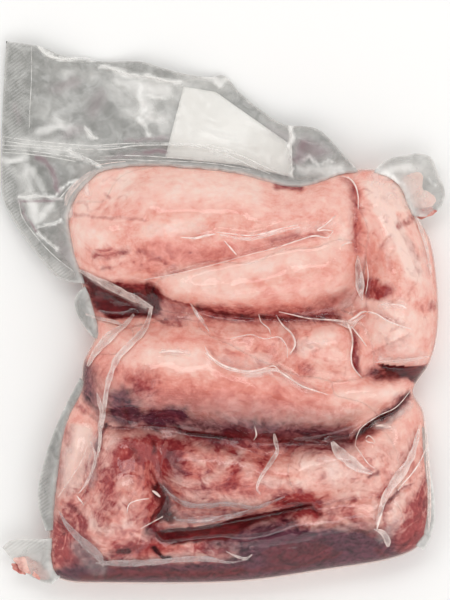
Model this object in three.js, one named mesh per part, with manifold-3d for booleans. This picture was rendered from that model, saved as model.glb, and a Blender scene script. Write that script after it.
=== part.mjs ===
// A clear vacuum bag of raw pork head meat, lying on its back with the shown side up.
// Millimetres. X runs across the bag, Y points to its mouth and Z up from the table.
// The origin is on the table, under the middle of the bag.
import * as THREE from 'three';
import { mergeVertices } from 'three/addons/utils/BufferGeometryUtils.js';
import Module from 'manifold-3d';

// How the filling sits in the bag
const seamHeight = 17; // where the front and the back film meet, all round the filling
const edgeRounding = 30; // how far in from the seam the filling reaches its full height
const baseRounding = 14; // how far in from the seam the flat underside starts
const valleyHeight = 34; // height of the filling where no roll of meat stands on it
const lowestFilling = 9; // the deepest that a groove goes, above the table
const rollBlend = 6; // how softly the film bridges from one roll to the next
const rollCrown = 0.8; // 0.5 is a round roll, less is squarer and more is more pointed
const waverWide = 2.2; // how far the rolls and creases waver off their straight stretches
const waverFine = 1.3;
const waverLengths = { wideX: 13, wideY: 15, fineX: 9, fineY: 8 }; // wavelength / 2 pi
const waverShifts = { wideX: 1.1, fineY: 2 }; // where a wave starts, in radians

// The empty film round the filling
const filmThickness = 1.2; // both layers together, with the air between them
const filmRest = 5.5; // middle height of the loose film above the table
const filmDrop = 58; // how far out the film comes down from the seam to that height
const finHeight = 9; // middle height of the narrow film beside and below the filling
const finDrop = 40;
const rippleHeight = 3; // the slow waves in the loose film
const rippleLength = 74;
const rippleSlant = 0.35;
const mouthStart = { above: 14, leftOf: 88 }; // the wide loose film at the mouth's end
const filmStep = 8; // size of the film's facets
const filmSheet = { halfWidth: 144, halfLength: 176 }; // the film before it is cut out
const cutter = { from: -20, depth: 80 }; // what cuts it out, from below to above it

// The paper label under the front film
const labelThickness = 0.4;
const labelGap = 0.3;

// Facets across and along the filling, and how much finer they are near its edges
const columns = 44;
const rows = 50;
const edgeFineness = 0.35;
const undersideRings = [1, 0.985, 0.96, 0.925, 0.86];

// The seam round the filling, side by side, as smooth curves through [x, y]
const fillingSides = {
  top: [
    [-88, 73.5], [-74.5, 86], [-52.5, 89.5], [-34.5, 89.5], [10.5, 85],
    [45.5, 77], [73.5, 85.5], [97.5, 84.5], [109, 76],
  ],
  right: [
    [109, 76], [116, 58], [124.5, 43.5], [129.5, -5.5], [124.5, -29.5],
    [114.5, -47], [120.5, -59.5], [122, -85.5], [125, -112.5], [122.5, -134],
  ],
  bottom: [
    [-102, -158], [-92, -161.5], [-67.5, -162.5], [10.5, -161.5], [58.5, -155],
    [100.5, -148], [115.5, -142], [122.5, -134],
  ],
  left: [
    [-88, 73.5], [-94, 60.5], [-91.5, 37.5], [-84.5, 16.5], [-79.5, 0.5],
    [-76.5, -14.5], [-83.5, -29.5], [-85.5, -45.5], [-94, -61.5],
    [-100.5, -94.5], [-104, -130.5], [-104.5, -151], [-102, -158],
  ],
};

// Loose film, each piece an outline through [x, y] that runs on under the filling
const looseFilm = {
  mouth: [
    [-130.5, 163.5], [-109.5, 160], [-97.5, 155], [-73.5, 151.5], [-48.5, 151],
    [-37.5, 147.5], [-19.5, 143], [-6.5, 142], [0.5, 143], [10.5, 132.5],
    [23.5, 121.5], [37.5, 113], [49.5, 112], [57.5, 110], [65, 103.5],
    [73.5, 93.5], [81.5, 83], [76, 60], [-60, 0], [-72, 10], [-79.5, 16.5],
    [-91.5, 18.5], [-99.5, 21.5], [-106.5, 29.5], [-115.5, 40.5], [-124.5, 53.5],
    [-130.5, 64.5], [-133, 73.5], [-133.5, 100.5], [-132.5, 127.5],
  ],
  rightEar: [
    [85, 60], [91, 84.5], [97.5, 91], [106.5, 94], [118.5, 95.5], [125, 93.5],
    [129.5, 83.5], [133.5, 73.5], [132.5, 65.5], [127.5, 59.5], [121.5, 57.5],
    [113.5, 58], [100, 40],
  ],
  rightFin: [
    [100, -60], [119, -67.5], [122.5, -74.5], [124.5, -91.5], [127, -112.5],
    [126.5, -129.5], [121, -142.5], [100, -130],
  ],
  cornerTongue: [
    [-90, -150], [-102.5, -163], [-109.5, -161], [-120.5, -155], [-126.5, -148.5],
    [-132.5, -141.5], [-128.5, -137.5], [-121.5, -136], [-104, -135.5], [-90, -130],
  ],
  leftFin: [
    [-90, -128], [-106, -131], [-110.5, -114.5], [-110.5, -105.5], [-107.5, -91.5],
    [-101, -71.5], [-93.5, -54.5], [-85.5, -39.5], [-70, -50],
  ],
  leftTuck: [
    [-66, -14], [-76, -15.5], [-83, -8], [-88, 1], [-88.5, 8], [-85.5, 13],
    [-79.5, 16.5], [-66, 10],
  ],
};

// The label's outline, as [x, y]; its lower end stops just short of the filling
const labelOutline = [
  [-23.5, 136], [-4, 133], [8.5, 124], [41.5, 100.5], [42.5, 81],
  [10.5, 88.5], [-34.5, 93],
];

// Rolls of meat. Each station along a roll is [x, y, top, halfWidthLeft, halfWidthRight],
// left and right as seen when following the stations.
const meatRolls = {
  topSlab: [
    [-72, 52, 47, 16, 36], [-37.5, 55, 56, 30, 42], [7.5, 57, 57, 28, 38], [45, 58, 54, 22, 34],
    [66, 58, 48, 20, 30],
  ],
  topLip: [
    [-22, 11, 50, 22, 13], [7.5, 14, 56, 26, 17], [36, 20, 58, 28, 22], [62, 22, 54, 26, 24],
  ],
  rightRoll: [
    [92, 64, 50, 20, 16], [101.5, 40.5, 56, 26, 21], [107.5, 13.5, 56, 26, 24],
    [108, -12, 50, 26, 26],
  ],
  middleSlab: [
    [-66, -38, 54, 20, 27], [-40.5, -36, 63, 28, 33], [-4.5, -40.5, 66, 29, 36],
    [30, -49, 63, 22, 32], [62, -59, 56, 14, 20], [78, -59, 50, 11, 14],
  ],
  middleLumps: [[-2, -14, 46, 12, 15], [26, -15, 50, 14, 18]],
  middleKnob: [[50, -20, 57, 19, 24], [68, -22, 56, 19, 24]],
  middleRight: [
    [67.5, -51.5, 50, 10, 12], [89.5, -46.5, 50, 11, 14], [109.5, -41.5, 44, 9.5, 11],
  ],
  leftFold: [[-76, -12, 40, 8, 10], [-58, -19, 50, 11, 12]],
  leftRoll: [[-86, -57, 38, 14, 13], [-89, -82.5, 44, 15, 13], [-89, -106, 42, 14, 13]],
  bottomLeft: [[-56, -83, 51, 24, 22], [-58, -104, 57, 27, 27], [-66, -124, 50, 27, 26]],
  bottomCentre: [[-20, -90, 51, 18, 28], [10, -92, 55, 19, 28], [42, -95, 53, 20, 26]],
  bottomRight: [[48, -94, 56, 17, 27], [73.5, -90, 58, 16, 30], [94, -86, 52, 16, 30]],
  rightEdge: [[109.5, -60, 44, 14, 14], [112.5, -88.5, 50, 16, 18], [109, -117.5, 48, 18, 20]],
  frontRoll: [
    [-80, -141, 40, 20, 22], [-37.5, -140, 44, 22, 24], [10.5, -135, 47, 24, 27],
    [58.5, -128, 49, 24, 28], [100, -121, 48, 20, 28],
  ],
  leftFront: [[-92.5, -118, 38, 13, 11], [-94, -142.5, 34, 17, 12]],
};

// Creases and hollows that are pressed into the rolls, along a path of [x, y, depth]
const creases = {
  underTop: {
    halfWidth: 8,
    path: [
      [-52, 10, 6], [-22, 3, 14], [1.5, -2, 14], [40, -4, 12], [66, -5, 9], [84, 0, 0],
    ],
  },
  leftHollow: { halfWidth: 16, path: [[-92, 16, 8], [-74, 8, 17], [-52, 4, 18], [-30, 2, 0]] },
  lipLine: { halfWidth: 5, path: [[-40, 22, 0], [-5, 31, 3], [40, 43, 4], [64, 47, 0]] },
  rightSplit: {
    halfWidth: 8,
    path: [
      [76, 92, 10], [80.5, 70.5, 14], [82, 52.5, 14], [80, 30.5, 12], [77.5, 2, 4],
    ],
  },
  rightHollow: { halfWidth: 11, path: [[85, 36, 0], [88, 26, 13], [89, 14, 10], [87, 4, 0]] },
  starCrease: {
    halfWidth: 7,
    path: [
      [75, 4, 0], [77.5, -5, 9], [80, -19.5, 10], [82.5, -38, 6],
    ],
  },
  lumpSplit: { halfWidth: 6, path: [[33, 2, 0], [35, -10, 7], [38, -22, 7], [47, -34, 0]] },
  underMiddle: {
    halfWidth: 8,
    path: [
      [-92, -60, 6], [-76, -64, 11], [-34.5, -67.5, 13], [-10.5, -76, 13], [28.5, -80, 13],
      [60, -79, 13], [83.5, -68, 11], [112, -52, 8], [124, -46, 6],
    ],
  },
  underRight: { halfWidth: 8, path: [[80, -36, 0], [98, -35, 12], [130, -33, 10]] },
  splitDown: {
    halfWidth: 8,
    path: [
      [-41, -84, 0], [-38, -98, 15], [-34, -112.5, 17], [-35.5, -126, 15], [-38, -136, 0],
    ],
  },
  splitAcross: {
    halfWidth: 8,
    path: [
      [-44, -128, 4], [-30, -127, 13], [1.5, -123.5, 12], [40.5, -115, 10], [76, -114, 7],
      [94, -120, 0],
    ],
  },
  leftSeam: {
    halfWidth: 7,
    path: [
      [-74, -58, 0], [-76, -72, 7], [-77, -85, 7], [-80.5, -106.5, 7], [-84, -134, 0],
    ],
  },
  frontFold: {
    halfWidth: 6,
    path: [
      [-88, -146, 0], [-72, -141, 7], [-37.5, -138.5, 7], [1.5, -143.5, 6], [24, -148, 0],
    ],
  },
  rightSeam: {
    halfWidth: 8,
    path: [
      [97, -62, 0], [101, -78, 5], [100, -100, 5], [90, -121, 0],
    ],
  },
};

const meatPink = new THREE.MeshStandardMaterial({
  color: '#d99487',
  roughness: 0.22,
  metalness: 0,
});
const labelPaper = new THREE.MeshStandardMaterial({
  color: '#e6e2da',
  roughness: 0.75,
  metalness: 0,
});

const mix = (a, b, share) => a + (b - a) * share;

// Nearest place on the stretch from a to b: how far along, how far off, and how much to
// the left, from 0 square to its right to 1 square to its left
function nearestOnStretch(a, b, x, y) {
  const alongX = b[0] - a[0];
  const alongY = b[1] - a[1];
  const fromX = x - a[0];
  const fromY = y - a[1];
  const length = alongX * alongX + alongY * alongY;
  const along = THREE.MathUtils.clamp((fromX * alongX + fromY * alongY) / length, 0, 1);
  const off = Math.hypot(fromX - along * alongX, fromY - along * alongY);
  const leftward = (alongX * fromY - alongY * fromX) / Math.sqrt(length);
  return { along, off, leftShare: 0.5 + 0.5 * (off > 0 ? leftward / off : 0) };
}

function softMaximum(a, b, softness) {
  const overlap = Math.max(softness - Math.abs(a - b), 0) / softness;
  return Math.max(a, b) + (overlap * overlap * softness) / 4;
}

// Height of one roll above the table: a crowned section that follows its stations
function rollHeight(stations, x, y) {
  let highest = 0;
  for (let i = 0; i + 1 < stations.length; i += 1) {
    const [start, end] = [stations[i], stations[i + 1]];
    const near = nearestOnStretch(start, end, x, y);
    const halfLeft = mix(start[3], end[3], near.along);
    const halfRight = mix(start[4], end[4], near.along);
    const across = near.off / mix(halfRight, halfLeft, near.leftShare);
    if (across < 1) {
      const top = mix(start[2], end[2], near.along);
      const crown = (1 - across * across) ** rollCrown;
      highest = Math.max(highest, mix(valleyHeight, top, crown));
    }
  }
  return highest;
}

function creaseDepth(crease, x, y) {
  let deepest = 0;
  for (let i = 0; i + 1 < crease.path.length; i += 1) {
    const [start, end] = [crease.path[i], crease.path[i + 1]];
    const near = nearestOnStretch(start, end, x, y);
    const across = Math.min(near.off / crease.halfWidth, 1);
    const depth = mix(start[2], end[2], near.along);
    deepest = Math.max(deepest, depth * (1 - across * across) ** 2);
  }
  return deepest;
}

// Moves a place a little, so that straight stretches come out wavering as meat does
function wavered(x, y) {
  const wideX = waverWide * Math.sin(y / waverLengths.wideX + waverShifts.wideX);
  const wideY = waverWide * Math.sin(x / waverLengths.wideY);
  const fineX = waverFine * Math.sin((x - y) / waverLengths.fineX);
  const fineY = waverFine * Math.sin((x + y) / waverLengths.fineY + waverShifts.fineY);
  return [x + wideX + fineX, y + wideY + fineY];
}

// Height of the filling if it had no edge
function fillingHeight(x, y) {
  const place = wavered(x, y);
  let height = valleyHeight;
  for (const stations of Object.values(meatRolls)) {
    height = softMaximum(height, rollHeight(stations, ...place), rollBlend);
  }
  for (const crease of Object.values(creases)) {
    height -= creaseDepth(crease, ...place);
  }
  return Math.max(height, lowestFilling);
}

function smoothSide(points) {
  const places = points.map(([x, y]) => new THREE.Vector3(x, y, 0));
  return new THREE.CatmullRomCurve3(places, false, 'centripetal');
}

const sides = Object.fromEntries(
  Object.entries(fillingSides).map(([name, points]) => [name, smoothSide(points)]),
);

// A place inside the filling's outline, from its share across and its share down
function placeInFilling(across, down) {
  const top = sides.top.getPointAt(across);
  const bottom = sides.bottom.getPointAt(across);
  const left = sides.left.getPointAt(down);
  const right = sides.right.getPointAt(down);
  const corners = ['x', 'y'].map((axis) => mix(
    mix(sides.top.getPointAt(0)[axis], sides.top.getPointAt(1)[axis], across),
    mix(sides.bottom.getPointAt(0)[axis], sides.bottom.getPointAt(1)[axis], across),
    down,
  ));
  return [
    mix(top.x, bottom.x, down) + mix(left.x, right.x, across) - corners[0],
    mix(top.y, bottom.y, down) + mix(left.y, right.y, across) - corners[1],
  ];
}

// Shares from 0 to 1 whose steps are smaller near both ends
function fineEndedShares(count) {
  const shares = [];
  for (let i = 0; i <= count; i += 1) {
    const even = i / count;
    shares.push(even - (edgeFineness * Math.sin(2 * Math.PI * even)) / (2 * Math.PI));
  }
  return shares;
}

const acrossShares = fineEndedShares(columns);
const downShares = fineEndedShares(rows);

// Once round the edge of the grid, clockwise from its top left corner
function roundTheEdge() {
  const walk = [];
  for (let i = 0; i < columns; i += 1) walk.push([i, 0]);
  for (let j = 0; j < rows; j += 1) walk.push([columns, j]);
  for (let i = columns; i > 0; i -= 1) walk.push([i, rows]);
  for (let j = rows; j > 0; j -= 1) walk.push([0, j]);
  return walk;
}

const edgeWalk = roundTheEdge();
const fillingEdge = edgeWalk.map(([i, j]) => placeInFilling(acrossShares[i], downShares[j]));

function distanceToEdge(x, y) {
  let nearest = Infinity;
  fillingEdge.forEach((point, i) => {
    const next = fillingEdge[(i + 1) % fillingEdge.length];
    nearest = Math.min(nearest, nearestOnStretch(point, next, x, y).off);
  });
  return nearest;
}

function isInFilling(x, y) {
  let inside = false;
  fillingEdge.forEach(([x1, y1], i) => {
    const [x2, y2] = fillingEdge[(i + 1) % fillingEdge.length];
    if (y1 > y !== y2 > y && x < x1 + ((y - y1) / (y2 - y1)) * (x2 - x1)) inside = !inside;
  });
  return inside;
}

// A quarter circle's rise, from 0 at the seam to 1 at the rounding's inner end
function roundedRise(fromEdge, rounding) {
  const short = 1 - Math.min(fromEdge / rounding, 1);
  return Math.sqrt(1 - short * short);
}

function solidFrom(geometry, wasm) {
  geometry.deleteAttribute('normal');
  geometry.deleteAttribute('uv');
  const merged = mergeVertices(geometry, 1e-4);
  return new wasm.Manifold(new wasm.Mesh({
    numProp: 3,
    vertProperties: new Float32Array(merged.attributes.position.array),
    triVerts: new Uint32Array(merged.index.array),
  }));
}

function indexedGeometry(places, triangles) {
  const geometry = new THREE.BufferGeometry();
  geometry.setAttribute('position', new THREE.Float32BufferAttribute(places.flat(), 3));
  geometry.setIndex(triangles.flat());
  return geometry;
}

// The filled part of the bag: rolls on top, rounded sides and a flat underside
function fillingGeometry() {
  const places = [];
  const triangles = [];
  const topIndex = (i, j) => j * (columns + 1) + i;
  downShares.forEach((down) => {
    acrossShares.forEach((across) => {
      const [x, y] = placeInFilling(across, down);
      const rise = roundedRise(distanceToEdge(x, y), edgeRounding);
      places.push([x, y, mix(seamHeight, fillingHeight(x, y), rise)]);
    });
  });
  edgeWalk.forEach(([i, j]) => {
    places[topIndex(i, j)][2] = seamHeight;
  });
  for (let j = 0; j < rows; j += 1) {
    for (let i = 0; i < columns; i += 1) {
      const [a, b] = [topIndex(i, j), topIndex(i + 1, j)];
      const [c, d] = [topIndex(i + 1, j + 1), topIndex(i, j + 1)];
      triangles.push([a, d, b], [b, d, c]);
    }
  }

  let outerRing = edgeWalk.map(([i, j]) => topIndex(i, j));
  undersideRings.slice(1).forEach((size, ringNumber) => {
    const isLast = ringNumber === undersideRings.length - 2;
    const innerRing = edgeWalk.map(([i, j]) => {
      const across = 0.5 + (acrossShares[i] - 0.5) * size;
      const down = 0.5 + (downShares[j] - 0.5) * size;
      const [x, y] = placeInFilling(across, down);
      const rise = isLast ? 1 : roundedRise(distanceToEdge(x, y), baseRounding);
      places.push([x, y, seamHeight * (1 - rise)]);
      return places.length - 1;
    });
    outerRing.forEach((outer, i) => {
      const next = (i + 1) % outerRing.length;
      triangles.push([outer, outerRing[next], innerRing[i]]);
      triangles.push([outerRing[next], innerRing[next], innerRing[i]]);
    });
    outerRing = innerRing;
  });

  const base = outerRing.map((index) => new THREE.Vector2(places[index][0], places[index][1]));
  THREE.ShapeUtils.triangulateShape(base, []).forEach(([a, b, c]) => {
    triangles.push([outerRing[c], outerRing[b], outerRing[a]]);
  });
  return indexedGeometry(places, triangles);
}

// Middle height of the loose film at a place
function filmHeight(x, y) {
  if (isInFilling(x, y)) return seamHeight;
  const out = distanceToEdge(x, y);
  const isMouth = y > mouthStart.above && x < mouthStart.leftOf;
  const rest = isMouth ? filmRest : finHeight;
  const fall = THREE.MathUtils.smoothstep(out, 0, isMouth ? filmDrop : finDrop);
  const wave = Math.sin(((x + rippleSlant * y) * 2 * Math.PI) / rippleLength);
  return mix(seamHeight, rest + rippleHeight * wave, fall);
}

// A wavy slab over the whole bag, from one height over the film to another
function wavySlabGeometry(above, below) {
  const { halfWidth, halfLength } = filmSheet;
  const acrossCount = Math.round((2 * halfWidth) / filmStep);
  const alongCount = Math.round((2 * halfLength) / filmStep);
  const places = [];
  const triangles = [];
  for (let j = 0; j <= alongCount; j += 1) {
    for (let i = 0; i <= acrossCount; i += 1) {
      const x = -halfWidth + i * filmStep;
      const y = -halfLength + j * filmStep;
      const height = filmHeight(x, y);
      places.push([x, y, height + above], [x, y, height + below]);
    }
  }
  const upper = (i, j) => 2 * (j * (acrossCount + 1) + i);
  const lower = (i, j) => upper(i, j) + 1;
  for (let j = 0; j < alongCount; j += 1) {
    for (let i = 0; i < acrossCount; i += 1) {
      triangles.push([upper(i, j), upper(i + 1, j), upper(i, j + 1)]);
      triangles.push([upper(i + 1, j), upper(i + 1, j + 1), upper(i, j + 1)]);
      triangles.push([lower(i, j), lower(i, j + 1), lower(i + 1, j)]);
      triangles.push([lower(i + 1, j), lower(i, j + 1), lower(i + 1, j + 1)]);
    }
  }
  for (let i = 0; i < acrossCount; i += 1) {
    triangles.push([upper(i, 0), lower(i, 0), upper(i + 1, 0)]);
    triangles.push([lower(i, 0), lower(i + 1, 0), upper(i + 1, 0)]);
    triangles.push([upper(i, alongCount), upper(i + 1, alongCount), lower(i, alongCount)]);
    triangles.push([lower(i, alongCount), upper(i + 1, alongCount), lower(i + 1, alongCount)]);
  }
  for (let j = 0; j < alongCount; j += 1) {
    triangles.push([upper(0, j), upper(0, j + 1), lower(0, j)]);
    triangles.push([lower(0, j), upper(0, j + 1), lower(0, j + 1)]);
    triangles.push([upper(acrossCount, j), lower(acrossCount, j), upper(acrossCount, j + 1)]);
    triangles.push([lower(acrossCount, j), lower(acrossCount, j + 1), upper(acrossCount, j + 1)]);
  }
  return indexedGeometry(places, triangles);
}

function columnOver(outline, wasm) {
  const shape = new THREE.Shape(outline.map(([x, y]) => new THREE.Vector2(x, y)));
  const column = new THREE.ExtrudeGeometry(shape, { depth: cutter.depth, bevelEnabled: false });
  column.translate(0, 0, cutter.from);
  return solidFrom(column, wasm);
}

function meshFrom(name, solid, material) {
  const { vertProperties, triVerts } = solid.getMesh();
  const geometry = new THREE.BufferGeometry();
  geometry.setAttribute('position', new THREE.BufferAttribute(vertProperties, 3));
  geometry.setIndex(new THREE.BufferAttribute(triVerts, 1));
  geometry.computeVertexNormals();
  const mesh = new THREE.Mesh(geometry, material);
  mesh.name = name;
  return mesh;
}

function sealedBag(wasm) {
  const half = filmThickness / 2;
  const film = solidFrom(wavySlabGeometry(half, -half), wasm);
  let bag = solidFrom(fillingGeometry(), wasm);
  for (const outline of Object.values(looseFilm)) {
    bag = bag.add(film.intersect(columnOver(outline, wasm)));
  }
  return meshFrom('sealed_bag', bag, meatPink);
}

function paperLabel(wasm) {
  const top = -filmThickness / 2 - labelGap;
  const paper = solidFrom(wavySlabGeometry(top, top - labelThickness), wasm);
  return meshFrom('label', paper.intersect(columnOver(labelOutline, wasm)), labelPaper);
}

const wasm = await Module();
wasm.setup();

const pack = new THREE.Group();
pack.add(sealedBag(wasm));
pack.add(paperLabel(wasm));

export default pack;
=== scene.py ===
import math

import bpy
import numpy as np
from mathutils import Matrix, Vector
from mathutils.geometry import delaunay_2d_cdt


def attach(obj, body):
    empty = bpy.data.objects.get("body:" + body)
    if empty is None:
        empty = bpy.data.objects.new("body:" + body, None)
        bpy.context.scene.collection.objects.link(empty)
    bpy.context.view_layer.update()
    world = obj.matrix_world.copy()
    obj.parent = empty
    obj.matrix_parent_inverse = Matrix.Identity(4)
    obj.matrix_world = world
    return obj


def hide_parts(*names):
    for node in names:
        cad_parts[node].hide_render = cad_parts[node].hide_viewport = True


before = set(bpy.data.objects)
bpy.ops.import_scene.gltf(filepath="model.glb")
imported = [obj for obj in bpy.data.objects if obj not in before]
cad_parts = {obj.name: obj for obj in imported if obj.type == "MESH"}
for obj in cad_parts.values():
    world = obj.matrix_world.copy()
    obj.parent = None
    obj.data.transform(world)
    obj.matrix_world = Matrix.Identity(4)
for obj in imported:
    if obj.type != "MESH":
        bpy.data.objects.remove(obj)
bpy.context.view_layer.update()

# A clear vacuum bag of raw pork head meat. It lies on its back, the shown side up.
# The lengths below are millimetres, as on a ruler. Meshes are made in metres.
mm = 0.001

filling = {
    "seamHeight": 17,       # where front and back film meet round the filling
    "edgeRounding": 30,     # from the seam in to the full height
    "baseRounding": 14,     # from the seam in to the flat underside
    "valleyHeight": 34,
    "lowest": 9,
    "rollBlend": 6,         # how softly tight film bridges two rolls
    "rollCrown": 0.8,
    "columns": 256,
    "rows": 280,
    "edgeFineness": 0.35,   # finer facets near the seam
}

fillingSides = {
    "top": [
        (-88, 73.5), (-74.5, 86), (-52.5, 89.5), (-34.5, 89.5), (10.5, 85),
        (45.5, 77), (73.5, 85.5), (97.5, 84.5), (109, 76),
    ],
    "right": [
        (109, 76), (116, 58), (124.5, 43.5), (129.5, -5.5), (124.5, -29.5),
        (114.5, -47), (120.5, -59.5), (122, -85.5), (125, -112.5), (122.5, -134),
    ],
    "bottom": [
        (-102, -158), (-92, -161.5), (-67.5, -162.5), (10.5, -161.5), (58.5, -155),
        (100.5, -148), (115.5, -142), (122.5, -134),
    ],
    "left": [
        (-88, 73.5), (-94, 60.5), (-91.5, 37.5), (-84.5, 16.5), (-79.5, 0.5),
        (-76.5, -14.5), (-83.5, -29.5), (-85.5, -45.5), (-94, -61.5),
        (-100.5, -94.5), (-104, -130.5), (-104.5, -151), (-102, -158),
    ],
}

# Rolls of meat as stations of x, y, top, half width to the left and to the right of the way
meatRolls = {
    "topSlab": [
        (-72, 52, 47, 16, 36), (-37.5, 55, 56, 30, 42), (7.5, 57, 57, 28, 38),
        (45, 58, 54, 22, 34), (66, 58, 48, 20, 30),
    ],
    "topLip": [
        (-22, 11, 50, 22, 13), (7.5, 14, 56, 26, 17), (36, 20, 58, 28, 22), (62, 22, 54, 26, 24),
    ],
    "rightRoll": [
        (92, 64, 50, 20, 16), (101.5, 40.5, 56, 26, 21), (107.5, 13.5, 56, 26, 24),
        (108, -12, 50, 26, 26),
    ],
    "middleSlab": [
        (-66, -38, 54, 20, 27), (-40.5, -36, 63, 28, 33), (-4.5, -40.5, 66, 29, 36),
        (30, -49, 63, 22, 32), (62, -59, 56, 14, 20), (78, -59, 50, 11, 14),
    ],
    "middleLumps": [(-2, -14, 46, 12, 15), (26, -15, 50, 14, 18)],
    "middleKnob": [(50, -20, 57, 19, 24), (68, -22, 56, 19, 24)],
    "middleRight": [(67.5, -51.5, 50, 10, 12), (89.5, -46.5, 50, 11, 14), (109.5, -41.5, 44, 9.5, 11)],
    "leftFold": [(-76, -12, 40, 8, 10), (-58, -19, 50, 11, 12)],
    "leftRoll": [(-86, -57, 38, 14, 13), (-89, -82.5, 44, 15, 13), (-89, -106, 42, 14, 13)],
    "bottomLeft": [(-56, -83, 51, 24, 22), (-58, -104, 57, 27, 27), (-66, -124, 50, 27, 26)],
    "bottomCentre": [(-20, -90, 51, 18, 28), (10, -92, 55, 19, 28), (42, -95, 53, 20, 26)],
    "bottomRight": [(48, -94, 56, 17, 27), (73.5, -90, 58, 16, 30), (94, -86, 52, 16, 30)],
    "rightEdge": [(109.5, -60, 44, 14, 14), (112.5, -88.5, 50, 16, 18), (109, -117.5, 48, 18, 20)],
    "frontRoll": [
        (-80, -141, 40, 20, 22), (-37.5, -140, 44, 22, 24), (10.5, -135, 47, 24, 27),
        (58.5, -128, 49, 24, 28), (100, -121, 48, 20, 28),
    ],
    "leftFront": [(-92.5, -118, 38, 13, 11), (-94, -142.5, 34, 17, 12)],
}

# Creases as half width, share of the depth that tight film shows, and stations of x, y, depth
creases = {
    "underTop": (8, 0.5, [(-52, 10, 6), (-22, 3, 14), (1.5, -2, 14), (40, -4, 12), (66, -5, 9), (84, 0, 0)]),
    "leftHollow": (16, 1, [(-92, 16, 8), (-74, 8, 17), (-52, 4, 18), (-30, 2, 0)]),
    "lipLine": (5, 0.2, [(-40, 22, 0), (-5, 31, 3), (40, 43, 4), (64, 47, 0)]),
    "rightSplit": (8, 0.16, [(76, 92, 10), (80.5, 70.5, 14), (82, 52.5, 14), (80, 30.5, 12), (77.5, 2, 4)]),
    "rightHollow": (11, 0.8, [(85, 36, 0), (88, 26, 13), (89, 14, 10), (87, 4, 0)]),
    "starCrease": (7, 0.55, [(75, 4, 0), (77.5, -5, 9), (80, -19.5, 10), (82.5, -38, 6)]),
    "lumpSplit": (6, 0.6, [(33, 2, 0), (35, -10, 7), (38, -22, 7), (47, -34, 0)]),
    "underMiddle": (8, 0.6, [
        (-92, -60, 6), (-76, -64, 11), (-34.5, -67.5, 13), (-10.5, -76, 13), (28.5, -80, 13), (60, -79, 13),
        (83.5, -68, 11), (112, -52, 8), (124, -46, 6),
    ]),
    "underRight": (8, 0.8, [(80, -36, 0), (98, -35, 12), (130, -33, 10)]),
    "splitDown": (8, 0.6, [
        (-41, -84, 0), (-38, -98, 15), (-34, -112.5, 17), (-35.5, -126, 15), (-38, -136, 0),
    ]),
    "splitAcross": (8, 0.8, [
        (-44, -128, 4), (-30, -127, 13), (1.5, -123.5, 12), (40.5, -115, 10), (76, -114, 7), (94, -120, 0),
    ]),
    "leftSeam": (7, 0.5, [(-74, -58, 0), (-76, -72, 7), (-77, -85, 7), (-80.5, -106.5, 7), (-84, -134, 0)]),
    "frontFold": (6, 0.5, [
        (-88, -146, 0), (-72, -141, 7), (-37.5, -138.5, 7), (1.5, -143.5, 6), (24, -148, 0),
    ]),
    "rightSeam": (8, 0.6, [(97, -62, 0), (101, -78, 5), (100, -100, 5), (90, -121, 0)]),
}


def smoothLine(points, perStretch=24):
    # centripetal curve through the points
    p = np.array(points, float)
    p = np.vstack([2 * p[0] - p[1], p, 2 * p[-1] - p[-2]])
    parts = []
    for a, b, c, d in zip(p[:-3], p[1:-2], p[2:-1], p[3:]):
        ta = 0.0
        tb = ta + np.linalg.norm((b - a)[:2]) ** 0.5
        tc = tb + np.linalg.norm((c - b)[:2]) ** 0.5
        td = tc + np.linalg.norm((d - c)[:2]) ** 0.5
        t = np.linspace(tb, tc, perStretch, endpoint=False)[:, None]
        ab = ((tb - t) * a + (t - ta) * b) / (tb - ta)
        bc = ((tc - t) * b + (t - tb) * c) / (tc - tb)
        cd = ((td - t) * c + (t - tc) * d) / (td - tc)
        abc = ((tc - t) * ab + (t - ta) * bc) / (tc - ta)
        bcd = ((td - t) * bc + (t - tb) * cd) / (td - tb)
        parts.append(((tc - t) * abc + (t - tb) * bcd) / (tc - tb))
    parts.append(p[-2:-1])
    return np.vstack(parts)


def alongLine(line, shares):
    # places at shares of the line's length
    steps = np.r_[0, np.cumsum(np.linalg.norm(np.diff(line[:, :2], axis=0), axis=1))]
    at = np.asarray(shares) * steps[-1]
    return np.stack([np.interp(at, steps, line[:, k]) for k in range(line.shape[1])], axis=-1)


def evenly(line, step):
    length = np.linalg.norm(np.diff(line[:, :2], axis=0), axis=1).sum()
    return alongLine(line, np.linspace(0, 1, max(int(round(length / step)), 2) + 1))


def nearStretch(a, b, x, y):
    alongX, alongY = b[0] - a[0], b[1] - a[1]
    fromX, fromY = x - a[0], y - a[1]
    length = alongX * alongX + alongY * alongY
    along = np.clip((fromX * alongX + fromY * alongY) / length, 0, 1)
    off = np.hypot(fromX - along * alongX, fromY - along * alongY)
    leftward = (alongX * fromY - alongY * fromX) / math.sqrt(length)
    return along, off, 0.5 + 0.5 * np.clip(leftward / np.maximum(off, 1e-6), -1, 1)


def distanceToLine(line, x, y, closed=True):
    nearest = np.full(x.shape, 1e9)
    ends = np.roll(line, -1, axis=0) if closed else line[1:]
    for a, b in zip(line, ends):
        nearest = np.minimum(nearest, nearStretch(a, b, x, y)[1])
    return nearest


def isInside(line, x, y):
    inside = np.zeros(x.shape, bool)
    for (x1, y1), (x2, y2) in zip(line, np.roll(line, -1, axis=0)):
        if y1 != y2:
            crosses = (y1 > y) != (y2 > y)
            inside ^= crosses & (x < x1 + (y - y1) / (y2 - y1) * (x2 - x1))
    return inside


def softMaximum(a, b, softness):
    overlap = np.maximum(softness - np.abs(a - b), 0) / softness
    return np.maximum(a, b) + overlap * overlap * softness / 4


def smoothStep(value, low, high):
    share = np.clip((value - low) / (high - low), 0, 1)
    return share * share * (3 - 2 * share)


nothingThere = -60.0   # a height below every piece


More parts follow.
